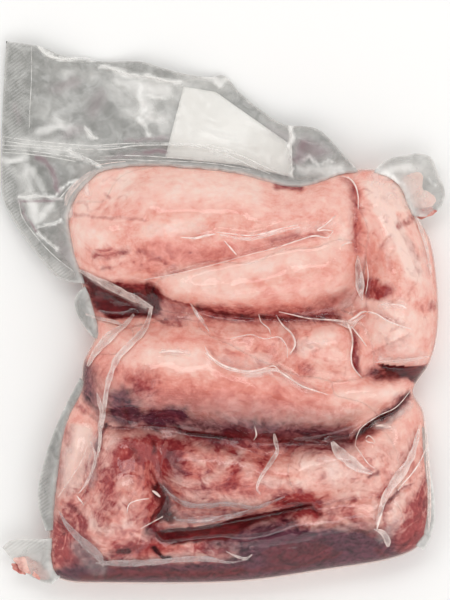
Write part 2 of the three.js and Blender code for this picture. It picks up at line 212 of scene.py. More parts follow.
def rollHeight(stations, x, y, foot=0.0):
    # foot is how fast the roll's flank goes on down past its half width
    valley = filling["valleyHeight"]
    highest = np.full_like(x, nothingThere)
    for start, end in zip(stations[:-1], stations[1:]):
        along, off, left = nearStretch(start, end, x, y)
        halfLeft = start[3] + (end[3] - start[3]) * along
        halfRight = start[4] + (end[4] - start[4]) * along
        across = off / (halfRight + (halfLeft - halfRight) * left)
        top = start[2] + (end[2] - start[2]) * along
        crown = np.clip(1 - across * across, 0, None) ** filling["rollCrown"]
        flank = valley - foot * (across - 1) if foot else np.full_like(x, nothingThere)
        highest = np.maximum(highest, np.where(across < 1, valley + (top - valley) * crown, flank))
    return highest


def creaseDepth(halfWidth, path, x, y):
    deepest = np.zeros_like(x)
    for start, end in zip(path[:-1], path[1:]):
        along, off, _ = nearStretch(start, end, x, y)
        across = np.minimum(off / halfWidth, 1)
        depth = start[2] + (end[2] - start[2]) * along
        deepest = np.maximum(deepest, depth * (1 - across * across) ** 2)
    return deepest


def wavered(x, y):
    # moves places a little, so that straight stretches waver as meat does
    wideX = 2.2 * np.sin(y / 13 + 1.1)
    wideY = 2.2 * np.sin(x / 15)
    fineX = 1.3 * np.sin((x - y) / 9)
    fineY = 1.3 * np.sin((x + y) / 8 + 2)
    return x + wideX + fineX, y + wideY + fineY


def allCreases(x, y):
    wx, wy = wavered(x, y)
    total = np.zeros_like(x)
    for halfWidth, shown, path in creases.values():
        total = total + shown * creaseDepth(halfWidth, path, wx, wy)
    return total


def blurred(grid, cells):
    reach = int(3 * cells) + 1
    weights = np.exp(-0.5 * (np.arange(-reach, reach + 1) / cells) ** 2)
    weights = weights / weights.sum()
    for axis in (0, 1):
        padded = np.pad(grid, [(reach, reach) if k == axis else (0, 0) for k in (0, 1)], mode="edge")
        grid = np.apply_along_axis(np.convolve, axis, padded, weights, mode="valid")
    return grid


bridging = {
    "step": 1.5,           # the raster that the tight film's height is worked out on
    "soften": 3.2,         # what the film can't follow
    "bridge": 9,           # how wide it spans hollows, and how far it sags into them
    "sag": 3.5,
    "left": -142, "bottom": -176, "columns": 190, "rows": 236,
}


def tightRaster():
    # tight film's height over the filling, if it had no edge
    step = bridging["step"]
    x, y = np.meshgrid(bridging["left"] + step * np.arange(bridging["columns"]),
                       bridging["bottom"] + step * np.arange(bridging["rows"]))
    wx, wy = wavered(x, y)
    height = np.full_like(x, float(filling["valleyHeight"]))
    for stations in meatRolls.values():
        height = softMaximum(height, np.maximum(rollHeight(stations, wx, wy), 0), filling["rollBlend"])
    height = np.maximum(height - allCreases(x, y), filling["lowest"])
    spanned = blurred(height, bridging["bridge"] / step) - bridging["sag"]
    return softMaximum(blurred(height, bridging["soften"] / step), spanned, 4)


tightHeights = tightRaster()


def tightHeight(x, y):
    u = np.clip((x - bridging["left"]) / bridging["step"], 0, bridging["columns"] - 1.001)
    v = np.clip((y - bridging["bottom"]) / bridging["step"], 0, bridging["rows"] - 1.001)
    i, j = u.astype(int), v.astype(int)
    fu, fv = u - i, v - j
    low = tightHeights[j, i] * (1 - fu) + tightHeights[j, i + 1] * fu
    high = tightHeights[j + 1, i] * (1 - fu) + tightHeights[j + 1, i + 1] * fu
    return low * (1 - fv) + high * fv


sideLines = {name: smoothLine(points) for name, points in fillingSides.items()}
sideRuns = {"top": (0, 1), "right": (0, 1), "bottom": (1, 0), "left": (1, 0)}
fillingEdge = np.vstack([alongLine(sideLines[n], np.linspace(*run, 60)[:-1]) for n, run in sideRuns.items()])


def placeInFilling(across, down):
    # a place in the filling from its share across and its share down, as arrays
    top, bottom = (alongLine(sideLines[n], across) for n in ("top", "bottom"))
    left, right = (alongLine(sideLines[n], down) for n in ("left", "right"))
    s, t = across[None, :, None], down[:, None, None]
    topEnds, bottomEnds = (alongLine(sideLines[n], [0, 1]) for n in ("top", "bottom"))
    corners = (
        (1 - t) * ((1 - s) * topEnds[0] + s * topEnds[1]) + t * ((1 - s) * bottomEnds[0] + s * bottomEnds[1])
    )
    place = (
        (1 - t) * top[None] + t * bottom[None] + (1 - s) * left[:, None] + s * right[:, None] - corners
    )
    return place[..., 0], place[..., 1]


def outOfFilling(x, y):
    # distance outside the filling's seam, negative inside it
    return distanceToLine(fillingEdge, x, y) * np.where(isInside(fillingEdge, x, y), -1, 1)


def roundedRise(fromEdge, rounding):
    short = 1 - np.clip(fromEdge / rounding, 0, 1)
    return np.sqrt(1 - short * short)


def fineEnded(count):
    even = np.linspace(0, 1, count + 1)
    return even - filling["edgeFineness"] * np.sin(2 * np.pi * even) / (2 * np.pi)


def softNoise(x, y, size, seed):
    # smooth hills and hollows from -1 to 1, about size mm across
    table = np.random.RandomState(seed).uniform(0, 2 * np.pi, (64, 64))
    u, v = x / size, y / size
    i, j = np.floor(u).astype(int), np.floor(v).astype(int)
    fu, fv = u - i, v - j
    su, sv = (f * f * f * (f * (f * 6 - 15) + 10) for f in (fu, fv))
    total = 0
    for di in (0, 1):
        for dj in (0, 1):
            angle = table[(i + di) % 64, (j + dj) % 64]
            slope = np.cos(angle) * (fu - di) + np.sin(angle) * (fv - dj)
            total = total + slope * (su if di else 1 - su) * (sv if dj else 1 - sv)
    return total * 1.5


def layeredNoise(x, y, size, seed, layers=3):
    total = 0
    for n in range(layers):
        total = total + softNoise(x, y, size / 2 ** n, seed + n) / 2 ** n
    return total


def ridges(x, y, size, seed):
    # sharp crests between broad hollows, 0 to 1, as crumpled film has
    return (1 - np.abs(np.clip(softNoise(x, y, size, seed) * 1.3, -1, 1))) ** 3


def lobules(x, y, size, seed):
    # 1 at the middle of each fat lobule and 0 between them
    table = np.random.RandomState(seed).uniform(0, 1, (2, 64, 64))
    i, j = np.floor(x / size).astype(int), np.floor(y / size).astype(int)
    nearest = np.full(x.shape, 9.0)
    for di in (-1, 0, 1):
        for dj in (-1, 0, 1):
            a, b = (i + di) % 64, (j + dj) % 64
            du = (i + di + table[0, a, b]) - x / size
            dv = (j + dj + table[1, a, b]) - y / size
            nearest = np.minimum(nearest, np.hypot(du, dv))
    return np.clip(1 - nearest, 0, 1)


def within(x, y, way, reach):
    # the points in the box round a way, as the rest needn't be measured
    xs, ys = [place[0] for place in way], [place[1] for place in way]
    return (x > min(xs) - reach) & (x < max(xs) + reach) & (y > min(ys) - reach) & (y < max(ys) + reach)


def markShare(marks, x, y):
    # 0 to 1 round marks of half width, strength and a way or a single place
    clear = np.ones_like(x)
    for halfWidth, strength, way in marks:
        beside = within(x, y, way, halfWidth)
        u, v = x[beside], y[beside]
        if len(way) == 1:
            off = np.hypot(u - way[0][0], v - way[0][1])
        else:
            off = distanceToLine(way, u, v, closed=False)
        share = np.clip(1 - off / halfWidth, 0, 1)
        clear[beside] *= 1 - strength * share * share * (3 - 2 * share)
    return 1 - clear


def areaShare(areas, x, y):
    # 0 to 1 inside outlines, each with how soft its edge is and a strength
    clear = np.ones_like(x)
    for softness, strength, outline in areas:
        beside = within(x, y, outline, softness)
        u, v = x[beside], y[beside]
        off = distanceToLine(outline, u, v) * np.where(isInside(outline, u, v), 1, -1)
        clear[beside] *= 1 - strength * smoothStep(off, -softness, softness)
    return 1 - clear


def ledgeShare(way, reach, x, y):
    # 1 at the foot of a ledge, falling off over its reach, on the right hand of its way only; the first share
    # paints shade there and the second is how far the surface drops
    line = evenly(smoothLine(way), 3)
    beside = within(x, y, line, reach)
    u, v = x[beside], y[beside]
    nearest, low, walk = np.full(u.shape, 1e9), np.zeros(u.shape), np.zeros(u.shape)
    walked = 0.0
    for start, end in zip(line[:-1], line[1:]):
        along, off, left = nearStretch(start, end, u, v)
        length = math.hypot(end[0] - start[0], end[1] - start[1])
        nearer = off < nearest
        nearest = np.where(nearer, off, nearest)
        low = np.where(nearer, left < 0.5, low)
        walk = np.where(nearer, walked + along * length, walk)
        walked += length
    ends = smoothStep(np.minimum(walk, walked - walk), 0, min(reach, walked / 3))
    fall = low * ends * np.clip(1 - nearest / reach, 0, 1) ** 1.3
    tint, drop = np.zeros_like(x), np.zeros_like(x)
    tint[beside] = fall
    drop[beside] = fall * np.clip(nearest / 1.6, 0, 1)
    return tint, drop


# Folds of film that show as pale lines over the meat, and painted highlights drawn as the same pale ribs,
# each a way of x, y, width
pleats = {
    # painted highlight
    "slabDouble": [(-24.5, 44.5, 0.8), (-16, 44, 1.8), (-10, 45.5, 1.8), (-4, 46.5, 0.8)],
    "slabLong": [
        (-3.5, 47.5, 0.6), (5.5, 46.5, 1.1), (16.5, 45.5, 1), (25, 47, 1.4), (34, 49.5, 1.1), (44.5, 52, 0.5),
    ],
    "slabShort": [(1, 42.5, 0.6), (5, 38, 1.6), (8.5, 34, 0.6)],
    "lipEdge": [
        (-46.5, 19.5, 0.4), (-25.5, 23.5, 0.5), (-1.5, 29.5, 0.5), (16.5, 34.5, 0.7), (32, 38.5, 1),
        (44, 42.5, 1.2), (55, 45.5, 1.4), (62.5, 44.5, 1), (65.5, 48.5, 0.7),
    ],
    "lipZigzag": [(65.5, 48.5, 0.5), (60.5, 49, 1.2), (56, 48.5, 1), (61.5, 52.5, 1), (67, 57.5, 0.5)],
    "starLeft": [
        (74, -5.5, 1.6), (67, -4.5, 1.8), (58.5, -4, 1.2), (51.5, -3.5, 1.5), (42.5, -1.5, 1.2),
        (33.5, 0.5, 0.5),
    ],
    "starRight": [
        (74, -5.5, 1.8), (79, -2.5, 2), (83.5, 0.5, 1.6), (90.5, -0.5, 1.3), (97, -4.5, 1.4),
        (104.5, -7.5, 1), (113, -10, 0.5),
    ],
    "starDown": [
        (74, -5.5, 1.6), (76.5, -12.5, 1.8), (77, -17.5, 1.4), (76, -26, 1.4), (77, -31.5, 1.2),
        (82.5, -38.5, 0.5),
    ],
    "starOuter": [(76.5, -8, 1), (80, -12.5, 1.4), (83, -16.5, 1.2), (85.5, -20, 0.5)],
    "smallLoop": [(94, 5, 0.5), (100.5, 5, 1.1), (106.5, 4, 1.1), (109, 2, 0.5)],
    "rightHook": [(77, 41.5, 0.5), (73, 41, 1.3), (70.5, 39.5, 0.6)],
    "rightLens": [(85.5, 30.5, 0.4), (86.5, 23, 0.8), (86, 16, 0.7), (85, 11, 0.4)],
    "rightArc": [(71.5, 81.5, 0.6), (76, 80, 1.2), (79, 76, 1.4), (80.5, 69.5, 1), (80.5, 61.5, 0.5)],
    "sShape": [(32, -1.5, 0.6), (35.5, -7, 1.6), (41, -12.5, 1.8), (43, -18.5, 1.6), (40, -24.5, 0.6)],
    "middleRim": [
        (4.5, -15.5, 0.4), (10.5, -14, 0.9), (17, -13, 0.9), (25, -15.5, 0.9), (33.5, -14.5, 1.1),
        (38, -20, 0.9), (38.5, -26.5, 0.4),
    ],
    "smallPleats": [(21.5, -1, 0.4), (23, -5.5, 1), (27.5, -9.5, 0.9), (28.5, -13, 0.4)],
    # painted highlight along the middle slab's upper edge
    "middleLong": [
        (-10.5, -19.5, 0.5), (-8, -24.5, 1.1), (-2.5, -29, 1.1), (4.5, -32.5, 1.2), (15.5, -34.5, 1.2),
        (26, -32.5, 1), (30.5, -31.5, 1), (34.5, -35, 1.1), (46.5, -43, 1.1), (55, -46, 0.9),
        (62.5, -48.5, 0.4),
    ],
    "endRim": [
        (78.5, -78.5, 0.5), (80, -73, 0.8), (82.5, -68.5, 0.8), (92.5, -61.5, 0.8), (103, -56.5, 0.8),
        (112.5, -46.5, 0.5),
    ],
    # painted highlights, this line and the next two
    "highDash": [(91, -67.5, 0.7), (95, -67, 2), (100.5, -68, 0.6)],
    "ringAbove": [(85, -74.5, 0.5), (86.5, -73, 1), (89, -74.5, 1), (90.5, -77, 0.5)],
    "ringBelow": [(85, -75.5, 0.5), (86, -76.5, 0.9), (88.5, -77, 0.9), (89.5, -77.5, 0.5)],
    "wallPleat": [(19, -67, 0.6), (20, -72.5, 1.4), (18.5, -75.5, 0.7)],
    # painted highlights, this line and the next
    "slabHighA": [(-37.5, -23.5, 0.5), (-30.5, -22.5, 1.8), (-23, -23.5, 0.6)],
    "slabHighB": [(-76, 88, 0.4), (-67.5, 89.5, 0.7), (-58, 90.5, 0.4)],
    "tongueEdge": [(78.5, -78.5, 0.4), (82, -83.5, 0.8), (86, -89, 0.8), (90.5, -92.5, 0.4)],
    "rightBandInner": [
        (122.5, -80, 0.7), (118.5, -87.5, 1.4), (112.5, -95.5, 1.4), (107, -101.5, 1.2), (104, -105.5, 0.6),
    ],
    "cornerFacet": [(94.5, -118.5, 1), (92.5, -123.5, 2.4), (91.5, -128, 0.8)],
    "edgeLineB": [(122.5, -81.5, 0.4), (124, -97.5, 0.9), (124.5, -112.5, 0.9), (124.5, -125.5, 0.4)],
    # painted highlight
    "dashLeft": [(-86.5, -109, 0.5), (-84.5, -111.5, 1.6), (-82, -114.5, 0.5)],
    "glintCentre": [(-41.5, -105.5, 1.6), (-39.5, -107, 2.4), (-37, -109.5, 1.4)],
    "barLower": [(-48.5, -128, 0.5), (-42.5, -125, 1), (-35.5, -121.5, 1.4)],
    "fanLeft": [(-56.5, -118.5, 0.5), (-55, -113, 1), (-49, -110.5, 1), (-43.5, -110, 0.5)],
    "leftRollLine": [(-98.5, -110.5, 0.4), (-91.5, -100.5, 0.6), (-84.5, -89.5, 0.6), (-80.5, -79.5, 0.4)],
}

# Wider folds where film lies double, translucent, in the same form
veils = {
    "finBand": [
        (-86, 25.5, 2.2), (-78.5, 21.5, 4.6), (-68.5, 16.5, 6.2), (-59, 11.5, 6.5), (-49.5, 7, 5.1),
        (-41.5, 2.5, 1.9),
    ],
    "lensVeil": [(80.5, 34, 1), (80.5, 28, 5), (81.5, 20.5, 7), (82, 13.5, 6), (83, 7.5, 2)],
    "strandMid": [
        (-74.5, -47.5, 1), (-73, -53.5, 4), (-71.5, -61, 4.6), (-73, -68, 3.6), (-72.5, -76.5, 2.4),
        (-74.5, -86, 1),
    ],
    "upperEdge": [(-94, 64, 2), (-92.5, 70, 4.5), (-88, 76, 5), (-82, 81.5, 4), (-76, 85.5, 1.5)],
    "starVeil": [(64.5, -4.5, 1.5), (71.5, -6.5, 4), (76.5, -8, 4), (80, -4.5, 3), (85, -1, 1.2)],
    "middleVeil": [
        (-10, -23.5, 1.5), (-0.5, -31, 3), (16.5, -35, 3.4), (32, -34, 3), (46.5, -43, 2.2), (57.5, -47, 1),
    ],
    "topVeil": [(-1.5, 46, 1.2), (16.5, 43.5, 2.6), (32, 47.5, 2.6), (45.5, 50.5, 1)],
    "rightVeil": [
        (107.5, 79.5, 1.5), (111.5, 67.5, 3.4), (117.5, 53, 3.8), (122, 37.5, 3.2), (124.5, 22, 1.5),
    ],
    "edgeVeil": [(121, -64.5, 1.2), (122.5, -82.5, 3), (123.5, -106.5, 3.4), (123.5, -130.5, 1.6)],
    "strandLong": [
        (-42.5, 4, 2.2), (-44, -3.5, 4.9), (-47, -10.5, 5.9), (-54.5, -18.5, 5.9), (-62, -26.5, 5.7),
        (-65.5, -34.5, 5.1), (-68, -43, 4.6), (-69.5, -51.5, 4.1), (-70.5, -59.5, 3.8), (-72.5, -70.5, 3.2),
        (-73.5, -82.5, 1.9),
    ],
    "strandShort": [
        (-53, -1, 1.9), (-58, -7, 4.9), (-64, -11.5, 7.3), (-71.5, -18.5, 7.8), (-76.5, -24.5, 6.2),
        (-80.5, -32, 2.4),
    ],
    "strandAcross": [(-82, -1, 1.4), (-73.5, -3.5, 3), (-66.5, -5, 3.2), (-58.5, -7.5, 1.6)],
    "speckledPleat": [(-19, 5.5, 1.1), (-16, 0.5, 3), (-11.5, -5.5, 2.7), (-8, -11, 0.9)],
    "endPleat": [(91, -29.5, 1), (100.5, -29, 2.4), (111.5, -28, 2.6), (124, -26, 1.2)],
    "wallTip": [
        (30.5, -71.5, 1.6), (31.5, -76.5, 3.4), (32.5, -82, 4.4), (29, -88, 3.8), (25, -93.5, 3.2),
        (22, -98.5, 2.8), (20.5, -104, 2), (22.5, -107.5, 0.6),
    ],
    "tongue": [(65, -76.5, 3.2), (68, -81.5, 8.1), (74, -86.5, 10), (80.5, -91.5, 8.6), (88.5, -95, 2.7)],
    "rightBandOuter": [
        (118, -67, 1.9), (115.5, -76.5, 4.6), (112, -86, 6.5), (106.5, -94.5, 7.6), (100.5, -102.5, 7.3),
        (96.5, -109, 5.9), (93.5, -117.5, 4.3), (91, -125.5, 1.6),
    ],
    "cornerLobe": [(89.5, -128, 1), (95, -130.5, 4.4), (98, -135.5, 5.4), (98.5, -139.5, 2)],
    "leftSeamFilm": [
        (-78.5, -76.5, 0.8), (-75.5, -85.5, 2.2), (-77.5, -94.5, 2.4), (-82, -103, 1.8), (-85.5, -107.5, 0.7),
    ],
    "frontCurl": [(2, -141.5, 0.6), (8, -144.5, 2), (14, -146, 2.2), (17.5, -143.5, 0.8)],
}

# Folds of the same kind that lie in shade, the shade painted in as a mauve tint and less milk
darkVeils = {
    "centreBand": [
        (-35.5, -103, 1), (-30.5, -109, 3), (-23, -113.5, 4.6), (-11, -115, 4.6), (2, -113.5, 4.4),
        (16.5, -115.5, 3), (26, -115, 1.2),
    ],
    "lowerBand": [
        (-28, -123.5, 1.4), (-16, -124, 3.6), (-0.5, -122, 4.2), (14, -118.5, 3.8), (27.5, -113, 3),
        (37, -109, 1.2),
    ],
    "frontStripe": [
        (-75.5, -149, 1.5), (-66.5, -149, 5), (-52.5, -149, 6), (-37.5, -148, 5.6), (-22.5, -146.5, 5),
        (-7.5, -146.5, 4.4), (4.5, -148.5, 2), (15.5, -146.5, 1),
    ],
    "cornerVeil": [
        (-97.5, -118.5, 1), (-93.5, -125.5, 4), (-86.5, -133, 7), (-79.5, -139, 9.6), (-73.5, -145, 7),
        (-71, -151, 1.6),
    ],
}

# How the meat varies over the shown side, with painted shade in its creases and on its flanks and a few
# painted highlights: half width, strength and a way or a place
tissueMarks = {
    # pale fat; the broad mark from x -43.5 to -10.5, on the middle slab's upper side, is a painted highlight
    "fat": [
        (17, 0.5, [(-79.5, 70.5), (-58.5, 77)]), (17, 0.42, [(-37.5, 76), (16.5, 73.5)]),
        (15, 0.1, [(40.5, 64.5), (67.5, 64.5)]), (10, 0.45, [(-84.5, 50.5), (-71, 43.5)]),
        (9, 0.4, [(-43.5, 48.5), (-13.5, 54.5)]), (10, 0.5, [(-31.5, 21.5), (16.5, 26), (46.5, 32.5)]),
        (9, 0.5, [(58.5, 36.5), (73.5, 46)]), (9, 0.35, [(-25.5, 12.5), (16.5, 10)]),
        (6, 0.6, [(85, 76), (92.5, 62), (101, 53.5), (109.5, 32.5), (113.5, 22.5)]),
        (9, 0.4, [(113.5, 58.5), (121, 43.5)]), (8, 0.45, [(64.5, -13), (46.5, -20.5)]),
        (11, 0.25, [(-43.5, -24.5), (-10.5, -27.5)]), (6, 0.4, [(91.5, -15.5), (112.5, -20)]),
        (8, 0.75, [(-83, -73), (-89.5, -92), (-94, -106.5)]), (10, 0.35, [(-65, -74), (-68, -93.5)]),
        (10, 0.35, [(-61.5, -112.5), (-74.5, -123.5)]), (12, 0.35, [(48.5, -83.5), (65.5, -94.5)]),
        (17, 0.15, [(100.5, -71.5), (86, -94.5), (74, -107.5)]), (9, 0.4, [(106.5, -105.5), (101.5, -119.5)]),
        (5, 0.45, [(23.5, -99.5), (46.5, -101.5)]), (4, 0.5, [(-11.5, -100.5), (11.5, -82.5)]),
        (5, 0.35, [(-30.5, -144.5), (-2.5, -142)]), (6, 0.35, [(1.5, -112.5), (46.5, -109)]),
        (9, 0.3, [(-55.5, -100.5), (-45.5, -111.5)]), (5, 0.35, [(-19.5, -83.5), (-10, -94.5)]),
        (7, 0.5, [(69.5, -49.5), (103.5, -47.5)]), (14, 0.35, [(106.5, 40.5), (115.5, 13.5)]),
        (10, 0.4, [(93.5, -10.5), (115.5, -13.5)]), (8, 0.3, [(-82.5, 61.5), (-85.5, 40.5)]),
        (12, 0.3, [(76.5, -94.5), (46.5, -89.5)]),
        (5, 0.3, [(-79.5, -124.5), (-67.5, -129.5), (-52.5, -124.5)]),
    ],
    "lean": [
        (10, 0.5, [(-32.5, 34), (4.5, 33.5)]), (8, 0.35, [(-67.5, 32.5)]),
        (5, 0.6, [(80, 76.5), (80.5, 37.5)]), (12, 0.4, [(-13.5, -3.5), (64.5, 4)]),
        (9, 0.4, [(88.5, 40.5), (89.5, 22.5)]), (10, 0.45, [(46.5, -32)]),
        (18, 0.55, [(-55.5, -89.5), (-46, -106.5)]), (12, 0.5, [(3.5, -100.5), (46.5, -112.5)]),
        (12, 0.4, [(52.5, -115.5)]), (16, 0.5, [(-22, -89.5), (2, -98)]),
        (9, 0.4, [(23.5, -89.5), (34.5, -98)]), (10, 0.45, [(-67.5, -100.5), (-66.5, -119.5)]),
        (6, 0.8, [(1, -104), (5.5, -94.5)]), (7, 0.8, [(-52.5, -143), (-25.5, -139.5)]),
        (9, 0.3, [(19.5, -19.5), (28.5, -10.5)]), (8, 0.35, [(-70.5, 64.5), (-66.5, 72.5)]),
        (12, 0.35, [(103.5, 13.5), (117.5, 7.5)]), (9, 0.4, [(-44.5, -94.5), (-43.5, -115.5)]),
        (8, 0.35, [(-28.5, -115.5), (1.5, -119.5)]),
    ],
    # blood; the marks along the lip's underside, near y 0, and under the middle slab, near y -71, are painted
    # shade
    "red": [
        (4.4, 0.5, [(-75.5, 34.5), (-65, 35), (-57.5, 36.5)]), (3, 0.4, [(-71, 25.5), (-66.5, 26.5)]),
        (2.2, 0.3, [(-70, 71), (-68, 68.5)]), (2, 0.32, [(-91, 58.5), (-73.5, 56.5), (-46, 55)]),
        (3.5, 0.35, [(-49.5, 36.5), (-34.5, 30.5)]), (1.6, 0.6, [(-19.5, 35.5)]),
        (4, 0.4, [(27.5, 43), (44, 46)]), (3.4, 0.8, [(32, 75.5), (39.5, 76), (46.5, 74)]),
        (5, 0.45, [(-43.5, 17), (-35.5, 6.5)]), (6, 0.45, [(-16, 2.5), (16.5, 0.5)]),
        (5, 0.6, [(28.5, -2.5), (64.5, -2)]), (5, 0.3, [(77, 77), (80, 64.5)]),
        (5, 0.3, [(80, 61.5), (80, 37.5)]), (8, 0.95, [(86.5, 16), (95.5, 13)]),
        (3, 0.4, [(104.5, 51.5), (114.5, 56.5)]), (3.4, 0.3, [(110.5, 42.5), (116, 32.5)]),
        (5, 0.6, [(125.5, 4)]), (9, 0.3, [(65.5, 6.5), (76.5, 8.5)]), (7, 0.45, [(51.5, -34.5)]),
        (4, 0.6, [(-49.5, -39.5), (-42.5, -46.5)]), (9, 0.4, [(-65, -51.5), (-55.5, -63.5)]),
        (7, 0.8, [(-40.5, -59.5), (-25.5, -61.5)]), (5, 0.6, [(-82, -32), (-80.5, -47)]),
        (8, 0.6, [(5.5, -70.5), (73.5, -71.5)]), (4, 0.7, [(-19.5, -72.5), (-11.5, -73)]),
        (7, 0.7, [(81.5, -74), (94.5, -64.5), (106.5, -51.5)]), (8, 0.75, [(89.5, -37), (122, -35.5)]),
        (4, 0.6, [(-90.5, -53.5), (-83, -58.5)]), (3, 0.6, [(-74.5, -79.5), (-71, -70.5)]),
        (8, 0.85, [(-56.5, -80), (-42.5, -76.5)]), (8, 0.8, [(-43.5, -80), (-32.5, -94.5)]),
        (5, 0.65, [(-68.5, -94.5), (-63.5, -115.5)]), (7, 0.55, [(-43.5, -100.5), (-38.5, -112.5)]),
        (5, 0.7, [(-28, -82.5), (-20.5, -94.5)]), (4, 0.6, [(2, -71.5), (7, -82.5)]),
        (5, 0.7, [(8, -92), (4.5, -104)]), (6, 0.65, [(-90.5, -115.5), (-83, -124.5)]),
        (10, 0.6, [(-100.5, -127.5), (-91.5, -148.5)]), (6, 0.5, [(-73.5, -118.5), (-70, -124.5)]),
        (9, 0.55, [(37, -111.5), (64.5, -119.5)]), (8, 0.7, [(-61.5, -139.5), (-37.5, -136.5)]),
        (6, 0.7, [(-43.5, -124.5), (-37.5, -131.5)]), (12, 0.6, [(109.5, -139.5), (119.5, -121.5)]),
        (5, 0.5, [(-37.5, -149.5), (-16, -150.5), (2, -147.5)]), (6, 0.6, [(121, -100.5), (117.5, -115.5)]),
        (6, 0.6, [(71.5, -116), (82.5, -125.5)]), (5, 0.4, [(25.5, -85.5), (23.5, -94.5)]),
        (3, 0.5, [(86, -96.5), (92, -94.5)]), (7, 0.5, [(-91.5, -70.5), (-98.5, -100.5)]),
    ],
    # dark blood with painted shade in the creases, the hollows, under the rolls and along the front flank
    "deep": [
        (9, 1, [(-73.5, 13.5), (-59, 7.5), (-46, 2.5)]), (5, 0.9, [(-44.5, 14.5), (-40, 4)]),
        (6, 0.8, [(-83, 20.5), (-76, 16)]), (2.6, 0.7, [(-16, 4), (1.5, -1), (23.5, -2.5)]),
        (3, 0.6, [(23.5, -2.5), (46.5, -3.5), (69.5, -2)]),
        (1.6, 0.15, [(32.5, 74.5), (39.5, 76), (46.5, 74)]), (4.4, 0.25, [(86, 13.5), (93.5, 12.5)]),
        (2.4, 0.4, [(-83.5, -35.5), (-82, -45.5)]), (3.5, 0.5, [(-59, -52.5), (-56.5, -63.5)]),
        (3.4, 0.6, [(11.5, -67), (12.5, -74)]), (3.6, 0.6, [(24.5, -64.5), (25.5, -72.5)]),
        (4, 0.4, [(-38.5, -61), (-26.5, -62)]), (4, 0.75, [(3.5, -71.5), (40.5, -75.5), (74, -74)]),
        (2.6, 0.95, [(-20.5, -71.5), (-10, -73), (4.5, -74.5)]),
        (3.4, 0.85, [(76.5, -76.5), (85, -68.5), (101.5, -57.5), (111.5, -48.5)]),
        (5, 0.75, [(91, -36.5), (106.5, -36.5), (122.5, -35)]),
        (2, 0.7, [(-75.5, -81.5), (-71.5, -71.5), (-69.5, -67)]), (3, 0.6, [(-41, -76.5), (-40, -83.5)]),
        (3.4, 0.6, [(-54.5, -80), (-50.5, -86)]),
        (4, 0.8, [(-38.5, -103), (-33.5, -112.5), (-35, -119.5), (-30.5, -124.5)]),
        (4.5, 1, [(-37.5, -131.5), (-22.5, -131), (-4.5, -129.5), (13.5, -125.5)]),
        (3, 0.9, [(13.5, -125.5), (28.5, -120.5), (46.5, -115.5)]), (3, 0.95, [(-62, -142), (-56.5, -141.5)]),
        (2.4, 1, [(-41.5, -139.5), (-38, -143), (-34.5, -146), (-31, -146)]),
        (4, 0.5, [(-66.5, -143.5), (-49.5, -139.5)]),
        (6, 0.75, [(-83, -159.5), (-49.5, -155), (-19.5, -156.5), (10.5, -154.5)]),
        (13, 0.6, [(32, -146), (57.5, -142)]), (3, 0.5, [(5.5, -154.5), (40.5, -152.5), (70.5, -143.5)]),
        (3, 0.7, [(36.5, -112.5), (52.5, -114.5), (57.5, -119.5)]),
        (2.6, 0.6, [(70.5, -125.5), (83.5, -129.5), (92, -133)]), (4, 0.5, [(92, -141.5), (98, -146)]),
        (3, 0.5, [(105.5, -141.5), (115, -133)]), (3, 0.4, [(116, -124.5), (121, -112.5)]),
        (2, 0.6, [(103.5, -105.5), (97, -113.5), (93.5, -119.5)]),
        (3, 0.45, [(-90.5, -115.5), (-85.5, -119.5)]), (3, 0.5, [(-97.5, -124.5), (-94, -131.5)]),
        (2, 0.6, [(86, -97), (92, -95)]), (2.4, 0.6, [(122, -71.5), (123.5, -94.5)]),
        (3, 0.6, [(-73.5, -145.5), (-61.5, -153.5)]),
    ],
    # painted shade on the flanks turned from the light, at the front and on the middle slab's underside and
    # left end, with some dark meat
    "bruise": [
        (7, 0.5, [(-83, -35.5), (-79.5, -50)]), (8, 0.5, [(-30.5, -85.5), (-25.5, -94.5)]),
        (7, 0.4, [(-7.5, -76.5), (4.5, -74)]), (18, 0.95, [(-85.5, -157.5), (-49.5, -158), (16.5, -157.5)]),
        (24, 0.95, [(16.5, -146), (64.5, -139.5), (89.5, -139.5)]),
        (20, 0.9, [(46.5, -154.5), (94.5, -149.5)]), (14, 0.8, [(-4.5, -134), (37.5, -127)]),
        (10, 0.5, [(-86.5, -139.5), (-76, -152)]), (8, 0.6, [(97, -147.5), (109, -148.5)]),
        (8, 0.3, [(112.5, -143.5), (119.5, -136.5)]), (8, 0.6, [(-43.5, -129.5), (-28.5, -134)]),
        (10, 0.4, [(-55.5, -153.5)]),
    ],
}
